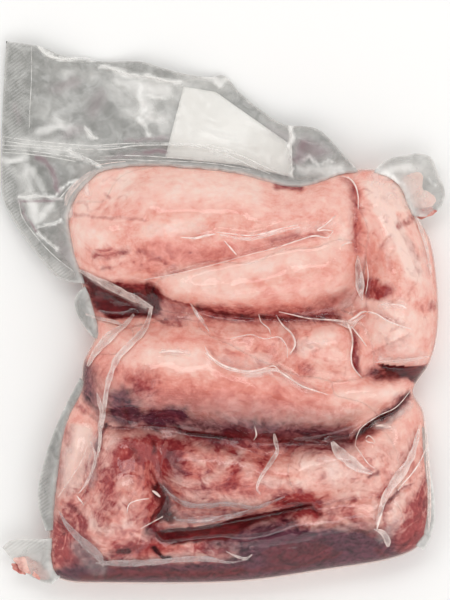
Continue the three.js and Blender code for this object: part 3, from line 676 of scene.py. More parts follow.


# Where one piece laps over the next, the low side on the right hand of the way, which gets painted shade:
# drop, reach, strength of the painted red shade, strength of the painted dark shade and the way
ledges = {
    "lipEdge": (1.6, 9, 0.35, 0, [
        (67, 46), (55, 44.5), (44, 42.5), (32, 38.5), (16.5, 34.5), (-1.5, 29.5), (-25.5, 23.5), (-46.5, 19),
    ]),
    "slabFoot": (3, 9, 0.5, 0.5, [
        (-89, 30.5), (-83, 24.5), (-75.5, 20), (-66.5, 18.5), (-55.5, 17), (-44.5, 15.5),
    ]),
    "lipFoot": (2.6, 6, 0.7, 0.25, [
        (-43.5, 18.5), (-38.5, 12.5), (-30.5, 8), (-19.5, 5), (-10, 2), (4.5, -0.5), (23.5, -2.5),
        (46.5, -2.5), (73, -3.5),
    ]),
    "middleRim": (1.3, 6, 0.3, 0.1, [
        (64, -49), (55, -46), (46.5, -43), (34.5, -35), (26, -32), (15.5, -34), (4.5, -32), (-5, -26.5),
        (-10.5, -19),
    ]),
    "sShape": (1.6, 5, 0.5, 0.1, [(39.5, -26.5), (43, -19), (41, -12.5), (35.5, -7), (31, -1.5)]),
    "starDown": (2.4, 5, 0.8, 0.6, [(83, -40.5), (78.5, -33.5), (76, -26), (77, -17.5), (75.5, -8.5)]),
    "starRight": (1.2, 6, 0.3, 0, [(109, -10.5), (97, -4), (89.5, 0.5), (83.5, 1), (76.5, -3.5)]),
    "knobRidge": (1.5, 9, 0.3, 0, [(83.5, -26), (94.5, -20), (104, -15.5), (115, -10)]),
    "endPleat": (4, 7, 0.7, 1, [(89.5, -29.5), (97, -31), (109, -32), (125, -31)]),
    "middleFoot": (2.6, 5, 0.6, 0.6, [
        (-74.5, -64.5), (-67.5, -67), (-59, -68), (-43.5, -66.5), (-29, -68), (-19.5, -70.5), (-7.5, -71.5),
        (3.5, -73), (16.5, -73.5), (23.5, -75.5), (34.5, -76), (46.5, -76.5), (58.5, -77), (75.5, -78.5),
    ]),
    "endRim": (2.6, 8, 0.7, 0.7, [
        (76, -79.5), (79.5, -73), (83.5, -68.5), (92.5, -62), (103, -56.5), (113.5, -47),
    ]),
    "centreRim": (3, 8, 0.7, 0.6, [
        (-38.5, -132.5), (-43, -123.5), (-38.5, -116), (-35, -109), (-40, -101.5), (-44, -91),
    ]),
    "wedgeRim": (3.4, 7, 0.7, 1, [
        (-39.5, -130), (-25.5, -128.5), (-8.5, -126.5), (10.5, -122), (28.5, -118.5), (56, -113),
    ]),
    "frontRim": (1.6, 9, 0.3, 0.2, [
        (-76, -149.5), (-61.5, -151), (-46.5, -151.5), (-21.5, -149.5), (4.5, -148), (19, -144.5),
    ]),
    "rightGroove": (2, 7, 0.5, 0, [(68, 83), (74.5, 80.5), (79, 74.5), (80, 66.5), (79.5, 49.5), (80, 32.5)]),
    "hollowFold": (2, 8, 0.5, 0.2, [(83.5, 6.5), (80.5, 15.5), (79, 25.5), (79.5, 36.5)]),
    "earRoot": (2, 6, 0.2, 0, [(100.5, 50), (107.5, 55.5), (115, 59.5), (124.5, 64)]),
    "bandOnRight": (1.2, 6, 0.35, 0, [(89.5, 36.5), (97, 44.5), (101.5, 48.5)]),
    "paleBand": (1.2, 7, 0.2, 0, [(117.5, 18.5), (112.5, 30.5), (106.5, 44.5), (99.5, 56.5)]),
    "leftRollRim": (1.6, 5, 0.6, 0.1, [
        (-86.5, -113.5), (-80.5, -104), (-76.5, -89.5), (-74.5, -76.5), (-74.5, -69.5),
    ]),
    "cavityFoot": (2, 8, 0.5, 0.1, [
        (-18.5, -8), (-28, -8.5), (-35, -7), (-43.5, -2.5), (-56.5, -3.5), (-71, -3.5), (-82, -6.5),
    ]),
    "strandEdge": (0.9, 4, 0.3, 0, [
        (-74, -70.5), (-71, -52.5), (-68, -39.5), (-62.5, -26), (-53, -15.5), (-45.5, -5.5),
    ]),
    "rightBand": (1.2, 5, 0.4, 0.1, [(118, -67), (113, -80.5), (104, -97), (95, -107.5), (92, -125.5)]),
    "tongueEdge": (1, 5, 0.4, 0, [(91, -95.5), (83.5, -93.5), (74, -89), (67, -81.5)]),
    "swirlA": (0.9, 5, 0.6, 0, [(-34, -98), (-21.5, -103.5), (-10, -104), (2, -99.5), (10.5, -86)]),
    "swirlB": (0.8, 4, 0.5, 0, [(-29, -89.5), (-19.5, -94.5), (-10, -94.5), (-4, -87.5), (-2, -77.5)]),
    "swirlC": (0.7, 4, 0.5, 0, [(-66.5, -112.5), (-66.5, -104), (-61.5, -97), (-53, -94.5), (-44.5, -99.5)]),
    "swirlD": (0.7, 4, 0.5, 0, [(-59, -124.5), (-50.5, -119.5), (-43.5, -112.5), (-41, -106.5)]),
    "lobeCrack": (0.9, 4, 0.6, 0.2, [
        (97, -129.5), (94.5, -117.5), (100.5, -109), (107.5, -103), (115, -100.5),
    ]),
    "flankFoldA": (1.2, 8, 0.1, 0.3, [
        (16.5, -146), (28.5, -140), (46.5, -136.5), (64.5, -139.5), (73, -146),
    ]),
    "flankFoldB": (1, 7, 0.1, 0.3, [(-61.5, -157), (-25.5, -154.5), (10.5, -155.5), (46.5, -159.5)]),
}

# Patches with their own edge, some of them painted shade and some painted glints: how soft the edge is,
# strength and an outline
tissueAreas = {
    "fat": [
        # the first two patches are painted glints on the film over the right corner
        (1, 0.5, [(101, -143.5), (104, -142), (105.5, -143), (102.5, -145)]),
        (1, 0.5, [(109, -137), (113, -134), (113.5, -135.5), (109.5, -138.5)]),
        (1.5, 0.35, [(-38.5, -87.5), (-34, -93.5), (-22, -98.5), (-10, -98), (-0.5, -92), (7, -80),
            (11.5, -82.5), (4.5, -97), (-7.5, -103.5), (-22, -104), (-34, -99.5)]),
        (2.4, 0.85, [(88.5, 70), (97, 67.5), (106.5, 52), (115, 34), (118.5, 18.5), (111.5, 19.5),
            (101.5, 41), (91, 59)]),
        (3, 0.9, [(-90.5, -67), (-78.5, -70.5), (-78.5, -86), (-85.5, -105.5), (-94, -109), (-96.5, -94.5),
            (-94, -76.5)]),
        # painted highlight on the middle slab's upper side
        (5, 0.2, [(-43.5, -20), (-13.5, -22), (1.5, -29.5), (-13.5, -35.5), (-43.5, -31)]),
        (2, 0.8, [(85, 78.5), (112.5, 74.5), (117.5, 64), (104, 59), (89.5, 65)]),
        (3, 0.4, [(80.5, 7.5), (106.5, 10), (121, -4.5), (104, -13), (85, 1.5)]),
    ],
    "lean": [
        (10, 0.5, [(-78.5, -22.5), (-61.5, -28.5), (-37.5, -35.5), (-37.5, -50), (-67.5, -50),
            (-78.5, -40.5)]),
        (4, 0.36, [(-43.5, 44.5), (10.5, 41.5), (52.5, 44.5), (34.5, 39.5), (-1.5, 30.5), (-43.5, 22),
            (-64, 26.5)]),
        (4, 0.5, [(2, -71.5), (46.5, -76.5), (58.5, -86), (23.5, -89.5), (5.5, -83.5)]),
        (9, 0.75, [(-37.5, -39.5), (-1.5, -40.5), (46.5, -47.5), (64.5, -57.5), (16.5, -59.5), (-43.5, -55)]),
    ],
    # blood; the patches in the left hollow and under the middle slab are painted shade
    "red": [
        (7, 0.6, [(-56.5, -37), (-47, -33.5), (-37.5, -38), (-38.5, -47.5), (-48.5, -51.5), (-56.5, -47.5)]),
        (6, 0.35, [(-83, -29.5), (-74.5, -32), (-70, -52.5), (-56.5, -61), (-71, -63.5), (-80.5, -52.5)]),
        (8, 0.3, [(-76, -70.5), (16.5, -74), (46.5, -112.5), (22.5, -124.5), (-37.5, -130.5), (-97.5, -152),
            (-100, -112.5)]),
        (10, 0.14, [(46.5, -82.5), (118.5, -70.5), (123.5, -112.5), (94.5, -124.5), (46.5, -112.5)]),
        (3, 0.45, [(-71, -141.5), (-49.5, -137.5), (-19.5, -137.5), (10.5, -133), (10.5, -140), (-19.5, -146),
            (-71, -148.5)]),
        (4, 0.35, [(-30.5, -117.5), (10.5, -116.5), (23.5, -119.5), (-8.5, -125), (-29, -128)]),
        (4, 0.5, [(-36.5, 7.5), (-23, 6.5), (-18.5, -2.5), (-25.5, -7.5), (-35.5, -8)]),
        (3, 0.9, [(-88, 25.5), (-73.5, 19.5), (-44.5, 17), (-37.5, 12.5), (-37.5, -2), (-61.5, -3.5),
            (-76, 0.5), (-83, 13.5)]),
        (4, 0.65, [(-68, -93.5), (-66.5, -82.5), (-58, -75.5), (-43.5, -74), (-43.5, -83.5), (-50.5, -93.5),
            (-61.5, -98)]),
        (4, 0.7, [(-49, -74.5), (-21.5, -74.5), (-19.5, -80), (-31.5, -89.5), (-42.5, -94.5),
            (-47.5, -85.5)]),
        (2, 0.5, [(-74.5, -94.5), (-70.5, -93.5), (-66.5, -106.5), (-66.5, -116), (-71.5, -116)]),
        (5, 0.7, [(119.5, -102.5), (127, -124.5), (121, -139), (109, -148.5), (90.5, -149.5), (83.5, -145),
            (95.5, -136.5), (104.5, -124.5), (111.5, -111.5)]),
        (4, 0.6, [(-104.5, -125.5), (-92.5, -121), (-80.5, -130.5), (-74.5, -143.5), (-74.5, -152),
            (-104.5, -152)]),
        (2.5, 0.9, [(85, 19.5), (92, 19.5), (98, 13.5), (94.5, 7.5), (86, 8.5), (82.5, 13.5)]),
        (3, 0.5, [(-13.5, 4), (16.5, 2.5), (64.5, 5), (73.5, -3.5), (23.5, -7), (-10.5, -4.5)]),
        (3, 0.6, [(-19.5, -71.5), (23.5, -76.5), (74, -79), (64.5, -83.5), (16.5, -81.5), (-19.5, -77.5)]),
        (3, 0.75, [(31, -109), (46.5, -104), (58.5, -112.5), (56, -121), (37, -119.5)]),
        (1.5, 0.6, [(77, -9.5), (80.5, -10.5), (82, -23.5), (80.5, -35.5), (77.5, -32), (76.5, -19.5)]),
    ],
    # painted shade in the hollows and creases, with dark blood
    "deep": [
        (1.5, 0.95, [(-83, 21.5), (-71, 15.5), (-61, 10), (-45.5, 1), (-43.5, -2), (-55.5, -2.5),
            (-66.5, -3.5), (-73.5, 0.5), (-78.5, 8.5)]),
        (1.2, 0.6, [(-73.5, 19), (-55.5, 15.5), (-47, 12.5), (-43.5, 5.5), (-49.5, 8), (-62.5, 14)]),
        (2, 0.9, [(-45.5, 16.5), (-41, 16.5), (-36.5, 7.5), (-38.5, -0.5), (-43.5, 0.5)]),
        (1.2, 1, [(94.5, -31.5), (109, -33.5), (125, -32), (122, -37.5), (117.5, -43), (109, -38),
            (98, -35.5)]),
        (1.2, 1, [(-38.5, -131), (-25.5, -130), (-8.5, -127.5), (10.5, -122.5), (25, -119.5), (14, -127.5),
            (10.5, -131.5), (-1, -135.5), (-18.5, -137), (-32.5, -138.5), (-37.5, -136)]),
        (3, 0.8, [(-43.5, -103), (-37.5, -101.5), (-33.5, -105.5), (-34, -110), (-29.5, -115.5),
            (-26.5, -123.5), (-37.5, -124.5), (-42.5, -122), (-37.5, -115)]),
        (2, 0.25, [(-16, -68), (16.5, -68.5), (46.5, -70.5), (74, -70.5), (76.5, -77), (46.5, -76),
            (23.5, -74), (-16, -70.5)]),
        (2, 0.5, [(86, -67), (94.5, -61), (107.5, -52.5), (112.5, -49), (107.5, -59.5), (94.5, -69.5),
            (82.5, -76.5)]),
    ],
    # painted shade on the middle slab's underside and left end and on the front flank, with some dark meat
    "bruise": [
        (4, 0.55, [(-85.5, -27.5), (-78.5, -29.5), (-74.5, -47.5), (-68.5, -63.5), (-73.5, -65.5),
            (-80.5, -55), (-86.5, -41.5)]),
        (4, 0.75, [(-67.5, -47.5), (-58, -44), (-53, -50.5), (-48.5, -57.5), (-37.5, -58.5), (-22, -55),
            (-19.5, -62.5), (-37.5, -67), (-59, -67), (-68.5, -64.5)]),
        (9, 0.25, [(-78.5, -32), (-66.5, -35.5), (-49.5, -47.5), (-43.5, -55), (-67.5, -52.5), (-77, -45.5)]),
        (13, 0.5, [(-67.5, -53.5), (-31.5, -51.5), (10.5, -53.5), (46.5, -57.5), (76.5, -61), (77.5, -80),
            (23.5, -76.5), (-19.5, -73), (-61.5, -68)]),
        (5, 0.55, [(-43.5, -62.5), (10.5, -63.5), (46.5, -67.5), (76.5, -70.5), (77.5, -80), (23.5, -76.5),
            (-19.5, -73), (-43.5, -69.5)]),
        (5, 0.22, [(58.5, 11), (73.5, 16), (78.5, 12.5), (78.5, 0.5), (49, -1), (47.5, 5)]),
        (3.5, 0.92, [(-109.5, -154), (-73.5, -151.5), (-46.5, -152.5), (-19.5, -150.5), (5.5, -149),
            (16.5, -144.5), (23.5, -134), (46.5, -128), (79, -130), (91, -134.5), (85, -143.5), (93.5, -151),
            (89.5, -160.5), (46.5, -172.5), (-109.5, -172.5)]),
        (4, 0.15, [(-30.5, -117.5), (10.5, -116.5), (23.5, -119.5), (-8.5, -125), (-29, -128)]),
        (3, 0.3, [(-102.5, -70.5), (-96.5, -76.5), (-97.5, -124.5), (-103.5, -124.5)]),
    ],
    "marbled": [
        (6, 0.5, [(-98.5, -112.5), (-72.5, -70.5), (-19.5, -73), (16.5, -76.5), (23.5, -100.5),
            (16.5, -119.5), (-43.5, -148.5), (-97.5, -152)]),
        (6, 0.45, [(16.5, -82.5), (76.5, -82.5), (118.5, -76.5), (124.5, -124.5), (94.5, -130.5),
            (34.5, -124.5)]),
        (5, 0.35, [(-13.5, -3.5), (46.5, -4.5), (73.5, -10.5), (76.5, -37.5), (46.5, -40.5), (-1.5, -28.5)]),
        (5, 0.3, [(80, 46), (118.5, 37.5), (125.5, -10.5), (94.5, -22.5), (82.5, -4.5)]),
        (5, 0.5, [(-85.5, 40.5), (-31.5, 40.5), (-25.5, 25.5), (-73.5, 24.5)]),
        (4, 0.3, [(-86.5, -28.5), (-37.5, -31), (-19.5, -64.5), (-79.5, -64.5)]),
        (4, 0.35, [(76.5, 82), (121.5, 73.5), (121.5, 46), (82.5, 43.5)]),
        (5, 0.8, [(23.5, -112.5), (64.5, -112.5), (64.5, -128), (16.5, -136.5)]),
        (4, 0.9, [(112.5, -112.5), (128, -112.5), (118.5, -148.5), (88.5, -149.5)]),
        (6, 0.3, [(-91.5, 79.5), (-55.5, 82), (-55.5, 58.5), (-94, 58.5)]),
        (4, 0.8, [(-73.5, -136.5), (4.5, -135.5), (4.5, -147.5), (-73.5, -148.5)]),
        (6, 1, [(-79.5, -149.5), (16.5, -142.5), (94.5, -130.5), (97, -160.5), (-79.5, -166.5)]),
    ],
}


def crestShare(ways, halfWidth, x, y):
    # 1 on the ways and falling straight off to 0 at their half width, as a fold does
    most = np.zeros_like(x)
    for way in ways:
        beside = within(x, y, way, halfWidth)
        off = distanceToLine([place[:2] for place in way], x[beside], y[beside], closed=False)
        most[beside] = np.maximum(most[beside], np.clip(1 - off / halfWidth, 0, 1) ** 1.4)
    return most


def sharedRelief(x, y):
    # swells, dents and ledges that the meat has and the tight film follows
    relief = 1.0 * layeredNoise(x, y, 26, 11, 2) + 0.25 * softNoise(x, y, 8, 17)
    for drop, reach, _, _, way in ledges.values():
        relief = relief - drop * ledgeShare(way, reach, x, y)[1]
    return relief


def tightFilmHeight(x, y, rise):
    height = tightHeight(x, y) + sharedRelief(x, y)
    tension = ridges(x + 0.4 * y, y, 24, 41) * (0.5 + 0.5 * softNoise(x, y, 40, 43))
    height = height + 0.5 * tension + 1.3 * crestShare(pleats.values(), 3.4, x, y)
    height = height + 1.2 * crestShare([*veils.values(), *darkVeils.values()], 5, x, y)
    return filling["seamHeight"] + (height - filling["seamHeight"]) * rise


looseFilm = {
    "mouthRest": 5.5, "finRest": 9,       # middle height of loose film above the table
    "mouthDrop": 58, "finDrop": 40,       # how far out it comes down to that height
    "ripple": 3, "rippleLength": 74, "rippleSlant": 0.35,
    "frontAbove": 0.5, "backBelow": 1.7,  # the two layers, with the label between them
    "filletFront": 5, "filletBack": 4, "filletReach": 5,
    "pinch": 1.4,                         # the layers close over this width at the rim
    "step": 1.6,
}


def filmHeight(x, y):
    # middle height of the loose film
    out = np.maximum(outOfFilling(x, y), 0)
    mouth = (y > 14) & (x < 88)
    rest = np.where(mouth, looseFilm["mouthRest"], looseFilm["finRest"])
    fall = smoothStep(out / np.where(mouth, looseFilm["mouthDrop"], looseFilm["finDrop"]), 0, 1)
    wave = np.sin((x + looseFilm["rippleSlant"] * y) * 2 * np.pi / looseFilm["rippleLength"])
    return filling["seamHeight"] * (1 - fall) + (rest + looseFilm["ripple"] * wave) * fall


def newPiece(name, places, faces, material):
    mesh = bpy.data.meshes.new(name)
    mesh.from_pydata((np.asarray(places) * mm).tolist(), [], [list(map(int, f)) for f in faces])
    mesh.validate()
    mesh.update()
    piece = bpy.data.objects.new(name, mesh)
    bpy.context.scene.collection.objects.link(piece)
    mesh.shade_smooth()
    mesh.materials.append(material)
    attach(piece, "root")
    return piece


def paintPoints(piece, **values):
    for name, numbers in values.items():
        layer = piece.data.attributes.new(name, "FLOAT", "POINT")
        layer.data.foreach_set("value", np.asarray(numbers, np.float32).ravel())


def paintFibreWay(piece, ways):
    layer = piece.data.attributes.new("fibreWay", "FLOAT_VECTOR", "POINT")
    layer.data.foreach_set("vector", ways.astype(np.float32).ravel())


def linear(hexColour):
    channels = [int(hexColour[i:i + 2], 16) / 255 for i in (1, 3, 5)]
    return [c / 12.92 if c <= 0.04045 else ((c + 0.055) / 1.055) ** 2.4 for c in channels] + [1.0]


def addNode(tree, kind, inputs=None, **settings):
    node = tree.nodes.new(kind)
    for key, value in settings.items():
        setattr(node, key, value)
    for key, value in (inputs or {}).items():
        if isinstance(value, bpy.types.NodeSocket):
            tree.links.new(value, node.inputs[key])
        else:
            node.inputs[key].default_value = value
    return node


def newMaterial(name):
    material = bpy.data.materials.new(name)
    material.use_nodes = True
    material.node_tree.nodes.clear()
    return material, material.node_tree


flesh = {
    # from lean to fat, at shares of fatness
    "tones": [(0.0, "#c4685c"), (0.2, "#dc887a"), (0.42, "#e8a294"), (0.62, "#efbaac"), (0.85, "#f2c8bb"),
              (1.0, "#f3d2c6")],
    # blood; dark blood with painted shade in creases and hollows; painted shade on flanks turned from the
    # light, with some dark meat
    "red": ("#82232a", "#b6504b"), "deep": ("#390c10", "#7c2226"), "bruise": ("#2e0f19", "#6f3949"),
    # size in mm, detail, roughness and distortion; fibres are stretched lengthwise besides
    "noises": {
        "patch": (11, 4, 0.55, 0.5), "mottle": (3.4, 3, 0.6, 0.4), "grain": (1.1, 1, 0.5, 0),
        "fibre": (3.2, 3, 0.6, 0.6),
    },
    "fibreStretch": 3.5, "cellSize": 5, "turnSize": 20, "turnReach": 18, "bandSize": 9,
    # how far each one moves the tone between lean and fat
    "spreads": {"patch": 0.85, "mottle": 0.32, "grain": 0.3, "fibre": 0.4, "cells": 0.22},
    "curlSpread": 1.6,
}


def rawPork():
    # raw pork pressed flat behind film: pale fat running into pink lean, blood and painted shade in the
    # folds, painted shade on the flanks turned from the light, and a few painted highlights
    material, tree = newMaterial("rawPork")
    place = addNode(tree, "ShaderNodeTexCoord").outputs["Object"]
    tint = {n: addNode(tree, "ShaderNodeAttribute", attribute_name=n).outputs["Fac"]
            for n in ("fat", "red", "deep", "bruise", "marbled")}
    # fibres run along each roll, so they are drawn on its own lengthwise and crosswise distances
    lengthwise = addNode(tree, "ShaderNodeAttribute", attribute_name="fibreWay").outputs["Vector"]
    grown = {}
    for name, (size, detail, roughness, distortion) in flesh["noises"].items():
        grown[name] = addNode(tree, "ShaderNodeTexNoise", {
            "Vector": lengthwise if name == "fibre" else place, "Scale": 1 / (size * mm),
            "Detail": detail, "Roughness": roughness, "Distortion": distortion}).outputs["Fac"]
    # fat lobules press against each other in rounded cells
    cells = addNode(tree, "ShaderNodeTexVoronoi", {
        "Vector": place, "Scale": 1 / (flesh["cellSize"] * mm), "Smoothness": 0.6},
        feature="SMOOTH_F1").outputs["Distance"]
    grown["cells"] = addNode(tree, "ShaderNodeMath", {0: 1.0, 1: cells}, operation="SUBTRACT").outputs[0]
    # where glands and lean run through the fat, they curl in bands
    turn = addNode(tree, "ShaderNodeTexNoise", {
        "Vector": place, "Scale": 1 / (flesh["turnSize"] * mm)}).outputs["Color"]
    curled = addNode(tree, "ShaderNodeVectorMath", {0: turn, 1: (flesh["turnReach"] * mm,) * 3, 2: place},
                     operation="MULTIPLY_ADD").outputs[0]
    band = addNode(tree, "ShaderNodeTexNoise", {
        "Vector": curled, "Scale": 1 / (flesh["bandSize"] * mm), "Detail": 2.0,
        "Distortion": 0.8}).outputs["Fac"]
    offBand = addNode(tree, "ShaderNodeMath", {0: band, 1: 0.5}, operation="SUBTRACT").outputs[0]
    curls = addNode(tree, "ShaderNodeMath", {0: offBand, 1: tint["marbled"]}, operation="MULTIPLY").outputs[0]
    vein = addNode(tree, "ShaderNodeMath", {0: offBand}, operation="ABSOLUTE").outputs[0]
    vein = addNode(tree, "ShaderNodeMapRange", {0: vein, 1: 0.0, 2: 0.05, 3: 0.22, 4: 0.0}).outputs[0]
    lean = addNode(tree, "ShaderNodeMapRange", {0: band, 1: 0.36, 2: 0.46, 3: 0.6, 4: 0.0}).outputs[0]
    bloody = addNode(tree, "ShaderNodeMath", {0: vein, 1: lean}, operation="ADD").outputs[0]
    bloody = addNode(tree, "ShaderNodeMath", {0: bloody, 1: tint["marbled"]}, operation="MULTIPLY").outputs[0]
    tint["red"] = addNode(tree, "ShaderNodeMath", {0: tint["red"], 1: bloody}, operation="ADD").outputs[0]
    fatness = addNode(tree, "ShaderNodeMath", {0: curls, 1: flesh["curlSpread"], 2: tint["fat"]},
                      operation="MULTIPLY_ADD").outputs[0]
    for name, spread in flesh["spreads"].items():
        centred = addNode(tree, "ShaderNodeMath", {0: grown[name], 1: 0.5}, operation="SUBTRACT").outputs[0]
        fatness = addNode(tree, "ShaderNodeMath", {0: centred, 1: spread, 2: fatness},
                          operation="MULTIPLY_ADD").outputs[0]
    tones = addNode(tree, "ShaderNodeValToRGB", {0: fatness})
    tones.color_ramp.interpolation = "B_SPLINE"
    tones.color_ramp.elements.remove(tones.color_ramp.elements[1])
    for n, (share, tone) in enumerate(flesh["tones"]):
        stop = tones.color_ramp.elements[0] if n == 0 else tones.color_ramp.elements.new(share)
        stop.color = linear(tone)
    base = tones.outputs[0]
    # blood and the painted shade soak in unevenly along the fibres, each in a darker and a brighter tone
    fine = addNode(tree, "ShaderNodeMath", {0: grown["fibre"], 1: grown["mottle"]},
                   operation="ADD").outputs[0]
    streak = addNode(tree, "ShaderNodeMapRange", {0: fine, 1: 0.7, 2: 1.3}).outputs[0]
    for name, unevenness in (("red", 0.8), ("bruise", 0.3), ("deep", 0.3)):
        dark, bright = flesh[name]
        tone = addNode(tree, "ShaderNodeMix", {0: streak, 6: linear(dark), 7: linear(bright)},
                       data_type="RGBA").outputs[2]
        reach = addNode(tree, "ShaderNodeMapRange", {
            0: streak, 3: 1 + unevenness / 2, 4: 1 - unevenness / 2}).outputs[0]
        held = addNode(tree, "ShaderNodeMath", {0: reach, 1: tint[name]}, operation="MULTIPLY").outputs[0]
        share = addNode(tree, "ShaderNodeMapRange", {0: held, 1: 0.04, 2: 0.85}).outputs[0]
        base = addNode(tree, "ShaderNodeMix", {0: share, 6: base, 7: tone}, data_type="RGBA").outputs[2]
    relief = addNode(tree, "ShaderNodeMath", {0: curls, 1: 3.0, 2: fine},
                     operation="MULTIPLY_ADD").outputs[0]
    bump = addNode(tree, "ShaderNodeBump", {"Height": relief, "Strength": 0.3, "Distance": 0.5 * mm})
    surface = addNode(tree, "ShaderNodeBsdfPrincipled", {
        "Base Color": base, "Roughness": 0.55, "IOR": 1.4, "Specular IOR Level": 0.03,
        "Normal": bump.outputs[0], "Subsurface Weight": 0.2, "Subsurface Radius": (1.0, 0.45, 0.3),
        "Subsurface Scale": 2 * mm})
    addNode(tree, "ShaderNodeOutputMaterial", {"Surface": surface.outputs[0]})
    return material


def vacuumFilm(name, settings):
    # polyamide and polythene film: clear with a wet gloss, grey or milky where it hangs loose or folds; the
    # milky share also carries painted highlights and painted light, and the mauve share painted shade
    material, tree = newMaterial(name)
    place = addNode(tree, "ShaderNodeTexCoord").outputs["Object"]
    seen = {n: addNode(tree, "ShaderNodeAttribute", attribute_name=n).outputs["Fac"]
            for n in ("haze", "white", "mauve", "hatch")}
    crinkle = addNode(tree, "ShaderNodeTexNoise", {
        "Vector": place, "Scale": 1 / (settings["crinkleSize"] * mm), "Detail": 3.0, "Roughness": 0.6,
        "Distortion": 1.5}).outputs["Fac"]
    mottle = addNode(tree, "ShaderNodeTexNoise", {
        "Vector": place, "Scale": 1 / (settings["mottleSize"] * mm), "Detail": 4.0, "Roughness": 0.6,
        "Distortion": 0.8}).outputs["Fac"]
    # the side seams are embossed with slanting lines 1.8 mm apart, coarser than the real 0.8 mm to show
    slant = (0, 0, math.radians(-35))
    turned = addNode(tree, "ShaderNodeMapping", {"Vector": place, "Rotation": slant}).outputs[0]
    lines = addNode(tree, "ShaderNodeTexWave", {
        "Vector": turned, "Scale": 0.314 / (1.8 * mm), "Distortion": 0.6, "Detail": 1.0},
        bands_direction="Y").outputs["Fac"]
    embossed = addNode(tree, "ShaderNodeMath", {0: lines, 1: seen["hatch"]}, operation="MULTIPLY").outputs[0]
    height = addNode(tree, "ShaderNodeMath", {0: embossed, 1: 0.6, 2: crinkle},
                     operation="MULTIPLY_ADD").outputs[0]
    bump = addNode(tree, "ShaderNodeBump", {
        "Height": height, "Strength": settings["bump"], "Distance": 0.8 * mm}).outputs[0]
    uneven = addNode(tree, "ShaderNodeMapRange", {0: mottle, 1: 0.3, 2: 0.7, 3: -0.22, 4: 0.22}).outputs[0]
    whiteness = addNode(tree, "ShaderNodeMath", {0: seen["white"], 1: uneven}, operation="ADD").outputs[0]
    whiteness = addNode(tree, "ShaderNodeMath", {0: embossed, 1: 0.35, 2: whiteness},
                        operation="MULTIPLY_ADD", use_clamp=True).outputs[0]
    grey, milky = linear(settings["grey"]), linear(settings["milky"])
    tone = addNode(tree, "ShaderNodeMix", {0: whiteness, 6: grey, 7: milky}, data_type="RGBA").outputs[2]
    tone = addNode(tree, "ShaderNodeMix", {0: seen["mauve"], 6: tone, 7: linear("#8a6f75")},
                   data_type="RGBA").outputs[2]
    clear = addNode(tree, "ShaderNodeBsdfTransparent", {"Color": (0.985, 0.985, 0.985, 1)}).outputs[0]
    milk = addNode(tree, "ShaderNodeBsdfDiffuse", {"Color": tone, "Normal": bump}).outputs[0]
    body = addNode(tree, "ShaderNodeMixShader", {0: seen["haze"], 1: clear, 2: milk}).outputs[0]
    gloss = addNode(tree, "ShaderNodeBsdfAnisotropic", {
        "Color": (1, 1, 1, 1), "Roughness": settings["roughness"], "Normal": bump}).outputs[0]
    edge = addNode(tree, "ShaderNodeFresnel", {"IOR": 1.5, "Normal": bump}).outputs[0]
    # folds seen edge-on would turn to mirrors, so the gloss stops growing there
    edge = addNode(tree, "ShaderNodeMath", {0: edge, 1: 0.045}, operation="MINIMUM").outputs[0]
    surface = addNode(tree, "ShaderNodeMixShader", {0: edge, 1: body, 2: gloss}).outputs[0]
    addNode(tree, "ShaderNodeOutputMaterial", {"Surface": surface})
    return material


tightFilm = {
    "grey": "#cdb8b0", "milky": "#fae6de", "crinkleSize": 9, "mottleSize": 4, "bump": 0.16, "roughness": 0.09,
}
slackFilm = {
    "grey": "#84847f", "milky": "#f4f2ee", "crinkleSize": 8, "mottleSize": 9, "bump": 0.25, "roughness": 0.25,
}

porkMaterial = rawPork()
tightMaterial = vacuumFilm("clearTightFilm", tightFilm)
slackMaterial = vacuumFilm("clearSlackFilm", slackFilm)

meatPieces = {
    # name: the rolls in it
    "topSlab": ["topSlab"],
    "slabLip": ["topLip"],
    "rightRoll": ["rightRoll"],
    "middleSlab": ["middleSlab"],
    "middleLumps": ["middleLumps", "middleKnob"],
    "middleEnd": ["middleRight"],
    "leftFold": ["leftFold"],
    "leftRoll": ["leftRoll", "leftFront"],
    "bottomLeft": ["bottomLeft"],
    "bottomCentre": ["bottomCentre"],
    "bottomRight": ["bottomRight"],
    "rightEnd": ["rightEdge"],
    "frontRoll": ["frontRoll"],
    "deepMeat": [],
}

meatMesh = {
    "columns": 330, "rows": 362, "filmGap": 0.7, "inFromSeam": 0.8, "fatness": 0.52,
    "creviceDepth": 1.6, "deepDepth": 3.0,
}


def meatTissues(x, y, crevice):
    # marks are drawn from the front; a little noise keeps their edges from being even
    px = x + 1.2 * softNoise(x, y, 7, 71) + 0.4 * softNoise(x, y, 3, 72)
    py = y + 1.2 * softNoise(x, y, 7, 73) + 0.4 * softNoise(x, y, 3, 74)
    share = {name: markShare(marks, px, py) for name, marks in tissueMarks.items()}
    for name, areas in tissueAreas.items():
        share[name] = 1 - (1 - share.get(name, 0)) * (1 - areaShare(areas, px, py))
    # painted shade on the low side of each ledge, in the red and the dark tints
    for _, reach, red, deep, way in ledges.values():
        below = ledgeShare(way, reach, x, y)[0]
        share["red"] = 1 - (1 - share["red"]) * (1 - red * below)
        share["deep"] = 1 - (1 - share["deep"]) * (1 - deep * below * below)
    fat = meatMesh["fatness"] + 0.75 * share["fat"] - 0.5 * share["lean"]
    return {
        # the crevice term paints shade into the red tint along the lines between rolls
        "fat": fat, "red": np.clip(share["red"] + 0.3 * crevice, 0, 1),
        "deep": share["deep"], "bruise": share["bruise"], "marbled": share["marbled"],
    }


def alongRoll(stations, x, y):
    # distances along a roll and off to its side
    nearest, lengthwise, crosswise = (np.full_like(x, v) for v in (1e9, 0.0, 0.0))
    walked = 0.0
    for start, end in zip(stations[:-1], stations[1:]):
        along, off, left = nearStretch(start, end, x, y)
        length = math.hypot(end[0] - start[0], end[1] - start[1])
        nearer = off < nearest
        lengthwise = np.where(nearer, walked + along * length, lengthwise)
        crosswise = np.where(nearer, off * np.sign(left - 0.5), crosswise)
        nearest = np.where(nearer, off, nearest)
        walked += length
    return lengthwise, crosswise


